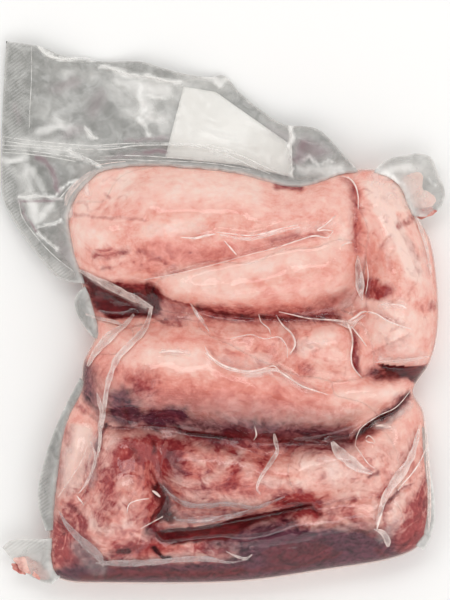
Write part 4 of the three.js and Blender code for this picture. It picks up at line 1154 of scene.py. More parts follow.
def fibreWay(rolls, seed, x, y):
    # where each point lies along its own roll, shortened lengthwise so that noise draws fibres
    bend = 5 * softNoise(x, y, 22, seed) + 2 * softNoise(x, y, 9, seed + 1)
    if rolls:
        lengthwise, crosswise = alongRoll(meatRolls[rolls[0]], x, y)
    else:
        lengthwise, crosswise = x, y
    squeezed = lengthwise / flesh["fibreStretch"] + 0.2 * bend
    return np.stack([squeezed + 300 * seed, crosswise + bend, np.zeros_like(x)], axis=-1) * mm


def makeMeat():
    inset, gap = meatMesh["inFromSeam"], meatMesh["filmGap"]
    shrink = 1 - 2 * inset / 230
    across = 0.5 + (fineEnded(meatMesh["columns"]) - 0.5) * shrink
    down = 0.5 + (fineEnded(meatMesh["rows"]) - 0.5) * shrink
    x, y = placeInFilling(across, down)
    inner = np.clip(distanceToLine(fillingEdge, x, y) - inset, 0, None)
    inner[[0, -1], :] = 0
    inner[:, [0, -1]] = 0
    rise = roundedRise(inner, filling["edgeRounding"])
    seam = filling["seamHeight"]
    under = seam * (1 - roundedRise(inner, filling["baseRounding"])) + gap
    wx, wy = wavered(x, y)
    heights = []
    for rolls in meatPieces.values():
        own = np.full_like(x, nothingThere)
        for name in rolls:
            own = np.maximum(own, rollHeight(meatRolls[name], wx, wy, foot=60))
        heights.append(own if rolls else np.full_like(x, filling["valleyHeight"] - 6.0))
    heights = np.array(heights)
    owner = heights.argmax(axis=0)
    ordered = np.sort(heights, axis=0)
    # 1 on the line between two rolls, where tight film lets the line show; it sinks the meat there and adds
    # painted shade to the red tint
    crevice = np.exp(-(ordered[-1] - ordered[-2]) / 2.5) * smoothStep(allCreases(x, y), 1.5, 6)
    tissues = meatTissues(x, y, crevice)
    lumps = 0.5 * np.clip(tissues["fat"], 0, 1) * lobules(x + 1.5 * softNoise(x, y, 6, 5), y, 3.0, 23)
    dip = meatMesh["creviceDepth"] * crevice + meatMesh["deepDepth"] * smoothStep(tissues["deep"], 0.6, 1)
    top = tightHeight(x, y) + sharedRelief(x, y) + lumps - dip - gap - 0.5
    top = np.maximum(seam + (top - seam) * rise, under + 0.05)
    made = []
    for k, name in enumerate(meatPieces):
        cells = owner[:-1, :-1] == k
        if not cells.any():
            continue
        piece, used = solidOfCells(name, x, y, top, under, cells, tissues)
        ways = fibreWay(meatPieces[name], 200 + k, x, y)[used]
        paintFibreWay(piece, np.concatenate([ways, ways]))
        made.append(piece)
    return made


def solidOfCells(name, x, y, top, under, cells, tissues):
    used = np.zeros(x.shape, bool)
    for di in (0, 1):
        for dj in (0, 1):
            used[di:di + cells.shape[0], dj:dj + cells.shape[1]] |= cells
    index = np.full(x.shape, -1)
    index[used] = np.arange(used.sum())
    count = used.sum()
    places = np.concatenate([
        np.stack([x[used], y[used], top[used]], axis=1),
        np.stack([x[used], y[used], under[used]], axis=1),
    ])
    a, b = index[:-1, :-1][cells], index[:-1, 1:][cells]
    c, d = index[1:, 1:][cells], index[1:, :-1][cells]
    faces = [np.stack([a, d, c, b], axis=1), np.stack([a, b, c, d], axis=1) + count]
    wide = np.pad(cells, 1)
    for shift, (p, q) in {(-1, 0): (a, b), (0, 1): (b, c), (1, 0): (c, d), (0, -1): (d, a)}.items():
        beside = wide[1 + shift[0]:1 + shift[0] + cells.shape[0], 1 + shift[1]:1 + shift[1] + cells.shape[1]]
        bare = ~beside[cells]
        faces.append(np.stack([q[bare], q[bare] + count, p[bare] + count, p[bare]], axis=1)[:, ::-1])
    piece = newPiece(name, places, np.concatenate(faces), porkMaterial)
    # blood, bruises and the painted shade hardly show on the underside
    fainter = {"deep": 0.25, "bruise": 0.25, "marbled": 0.25}
    paintPoints(piece, **{n: np.r_[v[used], v[used] * fainter.get(n, 1.0)] for n, v in tissues.items()})
    return piece, used


meat = makeMeat()
print("meat ready:", len(meat), "pieces")

# Where the tight film itself is milky over the meat, with painted highlights of wet sheen among the milky
# marks, and where it is double and mauve, mostly in folds in shade where the mauve is painted shade
tightMarks = {
    "haze": [
        (5, 0.85, [(-94, 70), (-92, 59)]), (3, 0.7, [(-82.5, 78.5), (-80.5, 71)]),
        (5, 0.4, [(-85.5, 82), (-78.5, 85.5)]), (6, 0.3, [(121, 37.5), (122.5, 24.5)]),
        (8, 0.55, [(92, 80.5), (111.5, 76)]), (6, 0.4, [(97, 70), (111.5, 65)]),
        (3, 0.5, [(94.5, -27.5), (122, -29.5)]), (3, 0.5, [(96.5, -67), (112.5, -55)]),
        (2.4, 0.6, [(-34.5, -23), (-20.5, -23.5)]), (5, 0.4, [(-76, -76.5), (-78.5, -100.5)]),
        (8, 0.35, [(-85.5, -139.5), (-74.5, -152)]), (3, 0.5, [(14, -37), (27.5, -35.5)]),
        (3, 0.7, [(71.5, -5.5), (77, -6.5)]), (6, 0.35, [(1, -27.5), (16.5, -30.5), (26, -28.5)]),
        (4, 0.3, [(37, -37), (52.5, -45.5)]), (2.6, 0.5, [(94.5, 4.5), (107.5, 4)]),
        (6, 0.3, [(-91.5, -82.5), (-94, -99.5)]), (4, 0.4, [(92, -67), (101.5, -68)]),
        (5, 0.25, [(-43.5, 48.5), (-10, 49.5)]), (4, 0.3, [(44, 49.5), (64.5, 52)]),
        (4, 0.3, [(57.5, -86), (65.5, -88.5)]), (5, 0.4, [(103.5, -124.5), (94.5, -134)]),
        (4, 0.35, [(46.5, -23.5), (59.5, -17.5)]),
    ],
    "mauve": [
        (6, 0.9, [(-34, 5), (-19.5, -4.5)]), (8, 0.9, [(-30.5, -112.5), (10.5, -119.5)]),
        (6, 0.8, [(-85.5, -139.5), (-74.5, -152)]), (8, 0.8, [(10.5, -134), (46.5, -118.5)]),
        (6, 0.6, [(103.5, -124.5), (94.5, -134)]), (5, 0.6, [(-76, -76.5), (-78.5, -100.5)]),
    ],
}
tightAreas = {
    "haze": [
        (1, 0.42, [(-86.5, 26.5), (-76, 22), (-61, 14.5), (-42.5, 4.5), (-45.5, 1.5), (-61, 9.5), (-76, 17)]),
        (2, 0.08, [(-34.5, 10), (-23, 5.5), (-18.5, -2.5), (-20.5, -7), (-35.5, -8), (-41.5, -2.5)]),
        (3, 0.14, [(-35.5, -104), (-30.5, -111.5), (10.5, -111.5), (23.5, -115), (10.5, -117.5),
            (-10, -126.5), (-32.5, -129.5), (-30.5, -116)]),
        (1.5, 0.25, [(92.5, -25), (107.5, -17.5), (122, -23.5), (123.5, -28.5), (106.5, -28), (93.5, -27.5)]),
    ],
}


def gridFaces(columns, rows):
    i, j = np.meshgrid(np.arange(columns), np.arange(rows))
    a = (j * (columns + 1) + i).ravel()
    return np.stack([a, a + columns + 1, a + columns + 2, a + 1], axis=1).tolist()


def coarseFaces(columns, rows, first):
    # the flat underside needs only every second point, and all of them along the seam
    faces = []
    for j in range(0, rows, 2):
        for i in range(0, columns, 2):
            ring = [(i, j), (i + 1, j), (i + 2, j), (i + 2, j + 1),
                    (i + 2, j + 2), (i + 1, j + 2), (i, j + 2), (i, j + 1)]
            kept = [True, j == 0, True, i + 2 == columns, True, j + 2 == rows, True, i == 0]
            faces.append([first + v * (columns + 1) + u for (u, v), keep in zip(ring, kept) if keep])
    return faces


def makeTightFilm():
    x, y = placeInFilling(fineEnded(filling["columns"]), fineEnded(filling["rows"]))
    fromSeam = distanceToLine(fillingEdge, x, y)
    rim = np.zeros(x.shape, bool)
    rim[[0, -1], :] = True
    rim[:, [0, -1]] = True
    fromSeam[rim] = 0
    baseRise = roundedRise(fromSeam, filling["baseRounding"])
    top = tightFilmHeight(x, y, roundedRise(fromSeam, filling["edgeRounding"]))
    under = filling["seamHeight"] * (1 - baseRise) + 0.5 * ridges(x, y, 30, 61) * baseRise
    columns, rows, count = filling["columns"], filling["rows"], x.size
    places = np.concatenate([np.stack([x, y, z], axis=-1).reshape(-1, 3) for z in (top, under)])
    faces = gridFaces(columns, rows) + coarseFaces(columns, rows, count)
    shared = np.arange(2 * count)
    rimIndex = np.flatnonzero(rim.ravel())
    shared[count + rimIndex] = rimIndex          # front and back share the seam's points
    used = np.zeros(2 * count, bool)
    for face in faces:
        used[shared[face]] = True
    kept = np.flatnonzero(used)
    index = np.cumsum(used) - 1
    piece = newPiece("tightFilm", places[kept], [index[shared[face]] for face in faces], tightMaterial)
    px, py = x + softNoise(x, y, 5, 81), y + softNoise(x, y, 5, 82)
    haze = 1 - (1 - markShare(tightMarks["haze"], px, py)) * (1 - areaShare(tightAreas["haze"], x, y))
    haze = haze * (0.8 + 0.5 * softNoise(x, y, 4, 83))
    # painted highlight: the film is painted milky all along the seam, where its steep edge would show dark
    haze = np.clip(np.maximum(haze, 0.6 * np.exp(-fromSeam / 1.2)), 0, 0.9).ravel()
    mauve = markShare(tightMarks["mauve"], px, py).ravel()
    none = np.zeros(len(kept))
    paintPoints(piece, haze=np.concatenate([haze, 0 * haze])[kept], white=none + 0.9,
                mauve=np.concatenate([mauve, 0 * mauve])[kept], hatch=none)
    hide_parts("sealed_bag")


makeTightFilm()
print("tight film ready")

# Loose film as it hangs round the filling: outlines of x, y, and what shows in each
slackPieces = {
    "mouthFilm": {
        "outline": [
            (-130.5, 163.5), (-109.5, 160), (-97.5, 155), (-73.5, 151.5), (-48.5, 151),
            (-37.5, 147.5), (-19.5, 143), (-6.5, 142), (0.5, 143), (10.5, 132.5),
            (23.5, 121.5), (37.5, 113), (49.5, 112), (57.5, 110), (65, 103.5),
            (73.5, 93.5), (81.5, 83), (76, 60), (-60, 0), (-72, 10), (-79.5, 16.5),
            (-91.5, 18.5), (-99.5, 21.5), (-106.5, 29.5), (-115.5, 40.5), (-124.5, 53.5),
            (-130.5, 64.5), (-133, 73.5), (-133.5, 100.5), (-132.5, 127.5),
        ],
        "bulge": 0.6, "crumple": 1.0,
        "front": (0.16, 0.6), "back": (0.93, 0.12),
    },
    "rightEar": {
        "outline": [
            (85, 60), (91, 84.5), (97.5, 91), (106.5, 94), (118.5, 95.5), (125, 93.5),
            (129.5, 83.5), (133.5, 73.5), (132.5, 65.5), (127.5, 59.5), (121.5, 57.5),
            (113.5, 58), (100, 40),
        ],
        "bulge": 3.4, "crumple": 0.8,
        "front": (0.3, 0.75), "back": (0.92, 0.45),
    },
    "rightFin": {
        "outline": [
            (100, -60), (119, -67.5), (122.5, -74.5), (124.5, -91.5), (127, -112.5),
            (126.5, -129.5), (121, -142.5), (100, -130),
        ],
        "bulge": 0.8, "crumple": 0.3,
        "front": (0.3, 0.6), "back": (0.85, 0.3),
    },
    "cornerTongue": {
        "outline": [
            (-90, -150), (-102.5, -163), (-109.5, -161), (-120.5, -155), (-126.5, -148.5),
            (-132.5, -141.5), (-128.5, -137.5), (-121.5, -136), (-104, -135.5), (-90, -130),
        ],
        "bulge": 1.6, "crumple": 0.4,
        "front": (0.35, 0.6), "back": (0.92, 0.45),
    },
    "leftFin": {
        "outline": [
            (-90, -128), (-106, -131), (-110.5, -114.5), (-110.5, -105.5), (-107.5, -91.5),
            (-101, -71.5), (-93.5, -54.5), (-85.5, -39.5), (-70, -50),
        ],
        "bulge": 0.4, "crumple": 0.3,
        "front": (0.35, 0.35), "back": (0.92, 0.2),
    },
    "leftTuck": {
        "outline": [
            (-66, -14), (-76, -15.5), (-83, -8), (-88, 1), (-88.5, 8), (-85.5, 13),
            (-79.5, 16.5), (-66, 10),
        ],
        "bulge": 1.0, "crumple": 0.5,
        "front": (0.3, 0.5), "back": (0.9, 0.3),
    },
}

# What shows in the loose film: half width, strength and a way or a place
slackMarks = {
    "frontHaze": [
        (2.2, 0.9, [(-110.5, 160), (-106.5, 155.5), (-101.5, 153.5), (-96.5, 152.5), (-88.5, 153.5),
            (-78.5, 152.5)]),
        (2.6, 0.8, [(-72.5, 148.5), (-64.5, 145.5), (-55.5, 143), (-43.5, 141.5), (-34.5, 139.5),
            (-25.5, 138.5)]),
        (9, 0.55, [(-61.5, 139.5), (-34.5, 133.5)]), (9, 0.4, [(-49.5, 133.5), (-43.5, 118.5)]),
        (7, 0.3, [(-61.5, 120.5), (-37.5, 115.5)]), (2.4, 0.7, [(-50.5, 137), (-49, 128.5), (-47.5, 120.5)]),
        (2, 0.5, [(-47.5, 130), (-34.5, 128.5)]), (2.2, 0.7, [(-49.5, 116.5), (-44, 107)]),
        (2, 0.85, [(-83, 110.5), (-76, 104)]), (5, 0.5, [(-100.5, 115.5), (-91.5, 110.5)]),
        (4, 0.6, [(-110.5, 108.5), (-97.5, 112)]), (4, 0.4, [(-119, 89), (-115.5, 73.5)]),
        (4, 0.45, [(-114.5, 85.5), (-107, 73.5)]),
        (1.6, 0.95, [(-122, 69.5), (-114.5, 70), (-106, 69.5), (-97.5, 68)]),
        (5, 0.7, [(-114.5, 65), (-112, 54.5), (-102.5, 64)]),
        (1.4, 0.9, [(-100, 70.5), (-95, 75.5), (-88, 79.5)]),
        (1.4, 0.8, [(-112.5, 50), (-104.5, 52.5), (-96.5, 55)]),
        (1.8, 0.85, [(-110.5, 47.5), (-104.5, 41.5), (-98.5, 36.5)]),
        (1.6, 0.6, [(-94, 97.5), (-82.5, 91.5), (-73.5, 88)]), (8, 0.45, [(-121.5, 101.5), (-91.5, 97.5)]),
        (4, 0.7, [(-130, 91.5), (-119, 94)]), (3, 0.8, [(-127.5, 91.5), (-121.5, 92.5)]),
        (2.4, 0.9, [(41, 111.5), (41.5, 104.5), (40.5, 100)]), (1.2, 0.5, [(41, 100), (41.5, 80.5)]),
        (2, 0.6, [(48.5, 91.5), (52, 94), (55.5, 90.5)]), (1.2, 0.5, [(56, 89), (66.5, 90.5)]),
        (3, 0.7, [(-3.5, 138.5), (-1, 137)]), (6, 0.4, [(46.5, 85.5), (70.5, 86.5)]),
        (4, 0.5, [(-10.5, 142), (1.5, 139.5)]), (4, 0.35, [(92, 79.5), (100.5, 85.5), (112.5, 86.5)]),
        (3, 0.4, [(99.5, 82), (104, 77)]), (1.6, 0.4, [(124.5, 79.5), (128, 76)]),
    ],
    "backWhite": [
        (16, 0.45, [(-62.5, 136.5), (-34.5, 133.5)]), (14, 0.5, [(-49.5, 121.5), (-34.5, 115.5)]),
        (10, 0.35, [(-97.5, 145.5), (-79.5, 142.5)]), (10, 0.3, [(-110.5, 121.5), (-97.5, 120.5)]),
        (9, 0.55, [(-121.5, 85.5), (-114.5, 64.5)]), (8, 0.55, [(-112, 62.5), (-104.5, 58.5)]),
        (9, 0.35, [(-91.5, 88.5), (-80.5, 84.5)]), (8, 0.25, [(-103.5, 30.5), (-89, 23)]),
        (9, 0.4, [(-121.5, 101.5), (-73.5, 96.5)]), (12, 0.4, [(-22.5, 137), (1.5, 137)]),
        (9, 0.3, [(28.5, 118.5), (46.5, 109.5)]), (10, 0.35, [(52.5, 82.5), (76.5, 84.5)]),
        (10, 0.45, [(100.5, 82.5), (118.5, 85.5)]), (9, 0.5, [(-126.5, -145), (-112, -148.5)]),
    ],
    "mauve": [
        (3.4, 0.9, [(-112, 94), (-106, 90.5), (-101, 82.5), (-98.5, 73.5)]),
        (3, 0.55, [(-68.5, 92.5), (-49.5, 95), (-35.5, 96.5)]), (2.4, 0.6, [(-58.5, 103.5), (-34, 104.5)]),
        (3, 0.9, [(-46.5, 96.5), (-34, 97)]), (7, 0.4, [(-73.5, 130.5), (-78.5, 120.5)]),
        (6, 0.35, [(-100.5, 134.5), (-88.5, 139.5)]), (5, 0.35, [(-94, 107), (-86.5, 110.5)]),
        (1.2, 0.9, [(-121.5, 67.5), (-113, 66.5), (-98.5, 67.5)]),
        (1.4, 0.9, [(-122.5, 67.5), (-119, 58), (-112, 48.5)]), (8, 0.65, [(48.5, 101.5), (57.5, 97.5)]),
        (6, 0.7, [(45.5, 92.5), (47.5, 100)]), (3, 0.3, [(-125, 125), (-122.5, 115.5)]),
        (6, 0.3, [(-97.5, 40.5), (-91.5, 30.5)]), (5, 0.3, [(27.5, 110.5), (38, 104.5)]),
        (5, 0.35, [(40.5, 91.5), (64.5, 96.5)]),
    ],
    "hatch": [
        (10, 1, [(-124, 161), (-124.5, 133.5), (-127, 107)]),
        (8, 1, [(-129.5, 84.5), (-128.5, 61.5), (-120.5, 43.5), (-107, 28), (-94, 21.5)]),
        (7, 0.8, [(-128.5, -139.5), (-109.5, -138.5)]), (7, 0.7, [(-109.5, -94.5), (-107.5, -118.5)]),
    ],
}

# Ridges pressed along the seal over the mouth, each a way of x, y, width
sealLines = {
    "sealA": [
        (-132.5, 106, 0.5), (-115.5, 103.5, 1), (-97.5, 101.5, 1), (-79.5, 100, 0.8), (-61.5, 99.5, 0.6),
    ],
    "sealB": [(-133, 103.5, 0.5), (-115.5, 101, 1), (-97.5, 99.5, 1), (-80.5, 97.5, 0.7)],
    "sealC": [(-133, 101, 0.5), (-115.5, 99.5, 1.1), (-97.5, 97.5, 1), (-83, 95, 0.7)],
    "sealD": [(-133, 98.5, 0.5), (-118, 97.5, 1), (-101, 95, 1), (-86.5, 92.5, 0.7)],
    "sealE": [(-133, 96.5, 0.5), (-119, 95.5, 1), (-103.5, 93.5, 1), (-88, 90.5, 0.7)],
    "sealF": [
        (-83, 98, 0.5), (-67.5, 98, 1.2), (-52.5, 100, 1.4), (-37.5, 100.5, 1.2), (-19.5, 100, 1.2),
        (-2.5, 97.5, 1.2), (10.5, 94, 1.2), (23.5, 88, 1), (37, 82, 0.5),
    ],
    "sealG": [
        (-78.5, 100, 0.4), (-64.5, 101, 0.8), (-49.5, 101.5, 0.8), (-31.5, 101.5, 0.9), (-7.5, 100, 0.9),
        (8, 96.5, 0.5),
    ],
    "sealH": [
        (-73.5, 93.5, 0.4), (-58.5, 94, 0.8), (-43.5, 93.5, 0.9), (-28.5, 92.5, 0.8), (-10.5, 91.5, 0.5),
    ],
    "sealI": [
        (-76.5, 91, 0.4), (-61.5, 91.5, 0.7), (-43.5, 91, 0.8), (-25.5, 90.5, 0.8), (-4.5, 89, 0.7),
        (16.5, 85.5, 0.5),
    ],
    "sealJ": [(-8.5, 96.5, 0.5), (4.5, 93.5, 0.9), (17.5, 87.5, 0.9), (28.5, 83, 0.5)],
    "foldTop": [
        (-111.5, 160.5, 0.6), (-106.5, 155.5, 1.6), (-101.5, 153.5, 2), (-95, 152.5, 1.8),
        (-86.5, 153.5, 1.4), (-76.5, 152, 0.6),
    ],
    "foldSecond": [
        (-73, 149, 0.6), (-64.5, 146, 1.6), (-54.5, 143, 1.4), (-42.5, 141.5, 1.6), (-32.5, 139, 1.2),
        (-24.5, 138.5, 0.5),
    ],
    "foldUpright": [(41.5, 112, 0.8), (41, 107, 2.2), (41, 102.5, 1.8), (41.5, 94, 1), (41.5, 82, 0.5)],
    "foldLobe": [
        (-122.5, 69.5, 0.5), (-114.5, 70, 1.4), (-106, 69.5, 1.4), (-98.5, 68, 0.8), (-94, 72.5, 1.2),
        (-88, 79, 0.5),
    ],
    "foldLobeLow": [(-112.5, 50, 0.5), (-104.5, 52.5, 1), (-97.5, 54.5, 0.5)],
    "foldSlant": [(-111.5, 48.5, 0.5), (-105.5, 43, 1.4), (-98.5, 36.5, 0.6)],
    "foldUnderSeal": [(-94, 98, 0.5), (-85.5, 94.5, 1.4), (-74.5, 89, 1), (-71, 86.5, 0.5)],
    "foldDash": [(-83, 111.5, 0.5), (-79.5, 107.5, 1.2), (-75.5, 104, 0.5)],
    "seamEdge": [(-115, 160, 0.4), (-115, 139.5, 0.6), (-116, 121.5, 0.6), (-116.5, 107, 0.4)],
    "seamEdgeLow": [
        (-122.5, 67.5, 0.4), (-120.5, 58, 0.7), (-113, 47, 0.7), (-101, 34, 0.7), (-89, 24.5, 0.4),
    ],
}


def netOver(x, y):
    # points and triangles of a flat net over the places
    flat, _, faces, *_ = delaunay_2d_cdt([Vector(p) for p in zip(x, y)], [], [], 0, 1e-4)
    return np.array([tuple(p) for p in flat]), np.array(faces)


def faceUp(flat, faces):
    p, q, r = (flat[faces[:, k]] for k in range(3))
    turned = (q[:, 0] - p[:, 0]) * (r[:, 1] - p[:, 1]) - (q[:, 1] - p[:, 1]) * (r[:, 0] - p[:, 0]) < 0
    faces[turned] = faces[turned][:, ::-1]
    return faces


def closedSheet(flat, front, back, faces, rim):
    # places and triangles of a front and a back layer, joined all along the rim
    count = len(flat)
    joined = np.concatenate([
        faces, faces[:, ::-1] + count,
        np.c_[rim[:, 0], rim[:, 0] + count, rim[:, 1] + count],
        np.c_[rim[:, 0], rim[:, 1] + count, rim[:, 1]],
    ])
    return np.concatenate([np.c_[flat, front], np.c_[flat, back]]), joined


net = {
    "cornerCosine": 0.55,   # a turn sharper than this stays a corner
    "rimStep": 1.2, "rimClear": 0.7,
    "underFilling": 2.6,    # how far loose film runs on in under the tight film
    "rowShare": 0.87, "longest": 4,
}


def filmPoints(outline, step):
    # points and triangles inside an outline, and at most a little way in under the filling
    turns = []
    count = len(outline)
    for i in range(count):
        a, b, c = (np.array(outline[(i + k) % count], float) for k in (-1, 0, 1))
        cosine = np.dot(b - a, c - b) / (np.linalg.norm(b - a) * np.linalg.norm(c - b))
        if cosine < net["cornerCosine"]:
            turns.append(i)
    parts = []
    for i, start in enumerate(turns):
        end = turns[(i + 1) % len(turns)]
        run = [outline[k % count] for k in range(start, end + 1 if end > start else end + count + 1)]
        parts.append(evenly(smoothLine(run), net["rimStep"])[:-1])
    rim = np.vstack(parts)
    across = np.arange(rim[:, 0].min(), rim[:, 0].max(), step)
    along = np.arange(rim[:, 1].min(), rim[:, 1].max(), step * net["rowShare"])
    x, y = np.meshgrid(across, along)
    x = x + (np.arange(len(along)) % 2)[:, None] * step / 2
    x, y = x.ravel(), y.ravel()
    kept = isInside(rim, x, y) & (distanceToLine(rim, x, y) > net["rimClear"])
    x, y = np.r_[rim[:, 0], x[kept]], np.r_[rim[:, 1], y[kept]]
    kept = outOfFilling(x, y) > -net["underFilling"]
    flat, faces = netOver(x[kept], y[kept])
    middle = flat[faces].mean(axis=1)
    spans = [flat[faces[:, i]] - flat[faces[:, (i + 1) % 3]] for i in range(3)]
    longest = np.max([np.hypot(*span.T) for span in spans], axis=0)
    kept = isInside(rim, *middle.T) & (outOfFilling(*middle.T) > -net["underFilling"])
    faces = faces[kept & (longest < net["longest"] * step)]
    used, faces = np.unique(faces, return_inverse=True)
    flat = flat[used]
    return flat, faceUp(flat, faces.reshape(-1, 3))


def rimOf(faces):
    # the edges that only one triangle has, in that triangle's direction
    edges = np.concatenate([faces[:, [0, 1]], faces[:, [1, 2]], faces[:, [2, 0]]])
    key = np.sort(edges, axis=1)
    _, place, times = np.unique(key, axis=0, return_index=True, return_counts=True)
    return edges[place[times == 1]]


def slackLayers(x, y, fromRim, settings):
    # heights of the front and the back layer of loose film
    middle = filmHeight(x, y)
    out = outOfFilling(x, y)
    fillet = np.exp(-np.maximum(out, 0) / looseFilm["filletReach"])
    free = 1 - np.exp(-fromRim / 5)
    crumple = settings["crumple"] * free * (
        2.2 * ridges(x + 0.5 * y, y, 34, 91) * np.clip(0.6 + softNoise(x, y, 50, 92), 0, 1)
        + 0.9 * ridges(x, y + 0.3 * x, 15, 93) + 0.5 * softNoise(x, y, 7, 94)
    )
    crumple = crumple + 1.0 * free * crestShare(sealLines.values(), 2.4, x, y)
    opened = 1 - np.exp(-fromRim / looseFilm["pinch"])
    front = middle + looseFilm["frontAbove"] * opened + np.maximum(crumple, 0)
    front = front + settings["bulge"] * free + looseFilm["filletFront"] * fillet
    back = middle - (looseFilm["backBelow"] + 0.35 * settings["bulge"] * free) * opened
    back = back - looseFilm["filletBack"] * fillet - 0.3 * ridges(x, y, 12, 95) * free
    return front, np.maximum(back, 0.3)


def makeSlackFilm(name, settings):
    flat, faces = filmPoints(settings["outline"], looseFilm["step"])
    x, y = flat.T
    rim = rimOf(faces)
    onRim = np.zeros(len(flat), bool)
    onRim[rim.ravel()] = True
    fromRim = np.full(len(flat), 1e9)
    outerRim = rim[outOfFilling(*flat[rim].mean(axis=1).T) > 1.5]
    for a, b in flat[outerRim]:
        fromRim = np.minimum(fromRim, nearStretch(a, b, x, y)[1])
    front, back = slackLayers(x, y, fromRim, settings)
    count = len(flat)
    piece = newPiece(name, *closedSheet(flat, front, back, faces, rim), slackMaterial)
    px, py = x + 1.5 * softNoise(x, y, 6, 96), y + 1.5 * softNoise(x, y, 6, 97)
    (frontHaze, frontWhite), (backHaze, backWhite) = settings["front"], settings["back"]
    streak = markShare(slackMarks["frontHaze"], px, py)
    whiter = markShare(slackMarks["backWhite"], px, py)
    mauve = markShare(slackMarks["mauve"], px, py)
    hatch = markShare(slackMarks["hatch"], x, y)
    rimLine = np.exp(-fromRim / 0.8)
    # painted light: the front layer is painted milkier next to the filling, where the gap below it lies in
    # shade
    atFilling = np.exp(-np.maximum(outOfFilling(x, y), 0) / 2.5)
    haze = frontHaze + 0.8 * streak + 0.6 * mauve + 0.4 * rimLine + 0.4 * atFilling
    paintPoints(
        piece,
        haze=np.r_[np.clip(haze, 0, 0.95), np.full(count, backHaze)],
        white=np.clip(np.r_[frontWhite + 0.8 * streak + 0.3 * rimLine, backWhite + whiter], 0, 1),
        mauve=np.r_[mauve, 0.7 * mauve], hatch=np.r_[hatch, 0.6 * hatch],
    )
    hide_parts("sealed_bag")
    return piece


for name, settings in slackPieces.items():
    slack = makeSlackFilm(name, settings)
    print(name, "ready:", len(slack.data.polygons), "faces")


def filmTop(x, y):
    # height of the outermost film at a place
    out = outOfFilling(x, y)
    onMeat = tightFilmHeight(x, y, roundedRise(np.maximum(-out, 0), filling["edgeRounding"]))
    mouth = slackPieces["mouthFilm"]
    loose = slackLayers(x, y, np.full_like(x, 20.0), mouth)[0]
    return np.where(out > 0, loose, np.maximum(onMeat, np.where(out > -net["underFilling"], loose, 0)))


rib = {
    "across": np.array([-0.5, -0.3, 0.0, 0.3, 0.5, 0.0]),
    "lift": np.array([0.0, 0.8, 1.0, 0.8, 0.0, -0.5]),
    "atEdge": np.array([1, 0, 0, 0, 1, 0]),
    "slimness": 0.65,   # a rib's share of the width that its fold has in the photo
    "tallest": 1.6, "above": 0.05, "step": 1.0,
}


def makePleats(name, ways, material, height, haze, clearness=0, mauve=0):
    # thin raised ribs of folded film, closed all round and painted milky, some of them painted highlights;
    # wide ones are clearer between their edges
    flat, lifts, shares, faces, first = [], [], [], [], 0
    for way in ways.values():
        line = evenly(smoothLine(way), rib["step"])
        ahead = np.gradient(line[:, :2], axis=0)
        ahead = ahead / np.linalg.norm(ahead, axis=1)[:, None]
        side = np.c_[-ahead[:, 1], ahead[:, 0]]
        count, around = len(line), len(rib["across"])
        wide = line[:, 2] * (1 + 0.3 * softNoise(line[:, 0], line[:, 1], 6, 99))
        across = rib["across"] * rib["slimness"]
        aside = side[:, None] * (across[None] * wide[:, None])[..., None]
        flat.append((line[:, None, :2] + aside).reshape(-1, 2))
        tall = height * np.minimum(line[:, 2], rib["tallest"])
        lifts.append((tall[:, None] * rib["lift"][None]).ravel())
        shares.append(np.tile(np.where(rib["atEdge"], 1, 1 - clearness), count))
        for i in range(count - 1):
            for k in range(around):
                a, b = first + i * around + k, first + i * around + (k + 1) % around
                faces.append((a, a + around, b + around, b))
        faces.append([first + k for k in range(around)])
        faces.append([first + (count - 1) * around + k for k in range(around)][::-1])
        first += count * around
    x, y = np.vstack(flat).T
    piece = newPiece(name, np.c_[x, y, filmTop(x, y) + rib["above"] + np.concatenate(lifts)], faces, material)
    piece.data.set_sharp_from_angle(angle=math.radians(70))
    broken = np.clip(haze * np.concatenate(shares) * (1 + softNoise(x, y, 4, 98)), 0.03, 0.95)
    paintPoints(piece, haze=broken, white=np.full(len(x), 1.1), mauve=mauve + 0 * x, hatch=0 * x)
    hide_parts("sealed_bag")


# the tight film's pleats, with the painted highlights among them
makePleats("tightPleats", pleats, tightMaterial, 0.2, 0.75)
makePleats("tightVeils", veils, tightMaterial, 0.08, 0.5, clearness=0.6)
# painted shade: these folds are less milky and tinted mauve
makePleats("darkVeils", darkVeils, tightMaterial, 0.05, 0.42, clearness=0.4, mauve=0.6)
makePleats("sealRidges", sealLines, slackMaterial, 0.2, 0.45)
print("pleats ready")

label = {
    "outline": [(-23.5, 136), (-4, 133), (8.5, 124), (41.5, 100.5), (42.5, 81), (10.5, 88.5), (-34.5, 93)],
    "top": -0.9, "thickness": 0.4, "step": 2.0, "rimStep": 1.5, "rimClear": 0.8,
    "paper": "#faf8f3", "shade": "#ebe8e2",
}


def labelPaper():
    # thin uncoated paper: matt, nearly white, with faint fibres, and painted shade where it bends at its
    # folds
    material, tree = newMaterial("labelPaper")
    place = addNode(tree, "ShaderNodeTexCoord").outputs["Object"]
    fold = addNode(tree, "ShaderNodeAttribute", attribute_name="fold").outputs["Fac"]
    fibres = addNode(tree, "ShaderNodeTexNoise", {
        "Vector": place, "Scale": 1 / (0.6 * mm), "Detail": 3.0, "Distortion": 2.0}).outputs["Fac"]
    cloud = addNode(tree, "ShaderNodeTexNoise", {"Vector": place, "Scale": 1 / (18 * mm)}).outputs["Fac"]
    uneven = addNode(tree, "ShaderNodeMath", {0: cloud, 1: fold}, operation="ADD").outputs[0]
    share = addNode(tree, "ShaderNodeMapRange", {0: uneven, 1: 0.4, 2: 1.3}).outputs[0]
    tone = addNode(tree, "ShaderNodeMix", {0: share, 6: linear(label["paper"]), 7: linear(label["shade"])},
                   data_type="RGBA").outputs[2]
    bump = addNode(tree, "ShaderNodeBump", {"Height": fibres, "Strength": 0.2, "Distance": 0.1 * mm})
    surface = addNode(tree, "ShaderNodeBsdfPrincipled", {
        "Base Color": tone, "Roughness": 0.8, "IOR": 1.45, "Normal": bump.outputs[0]}).outputs[0]
    addNode(tree, "ShaderNodeOutputMaterial", {"Surface": surface})
    return material


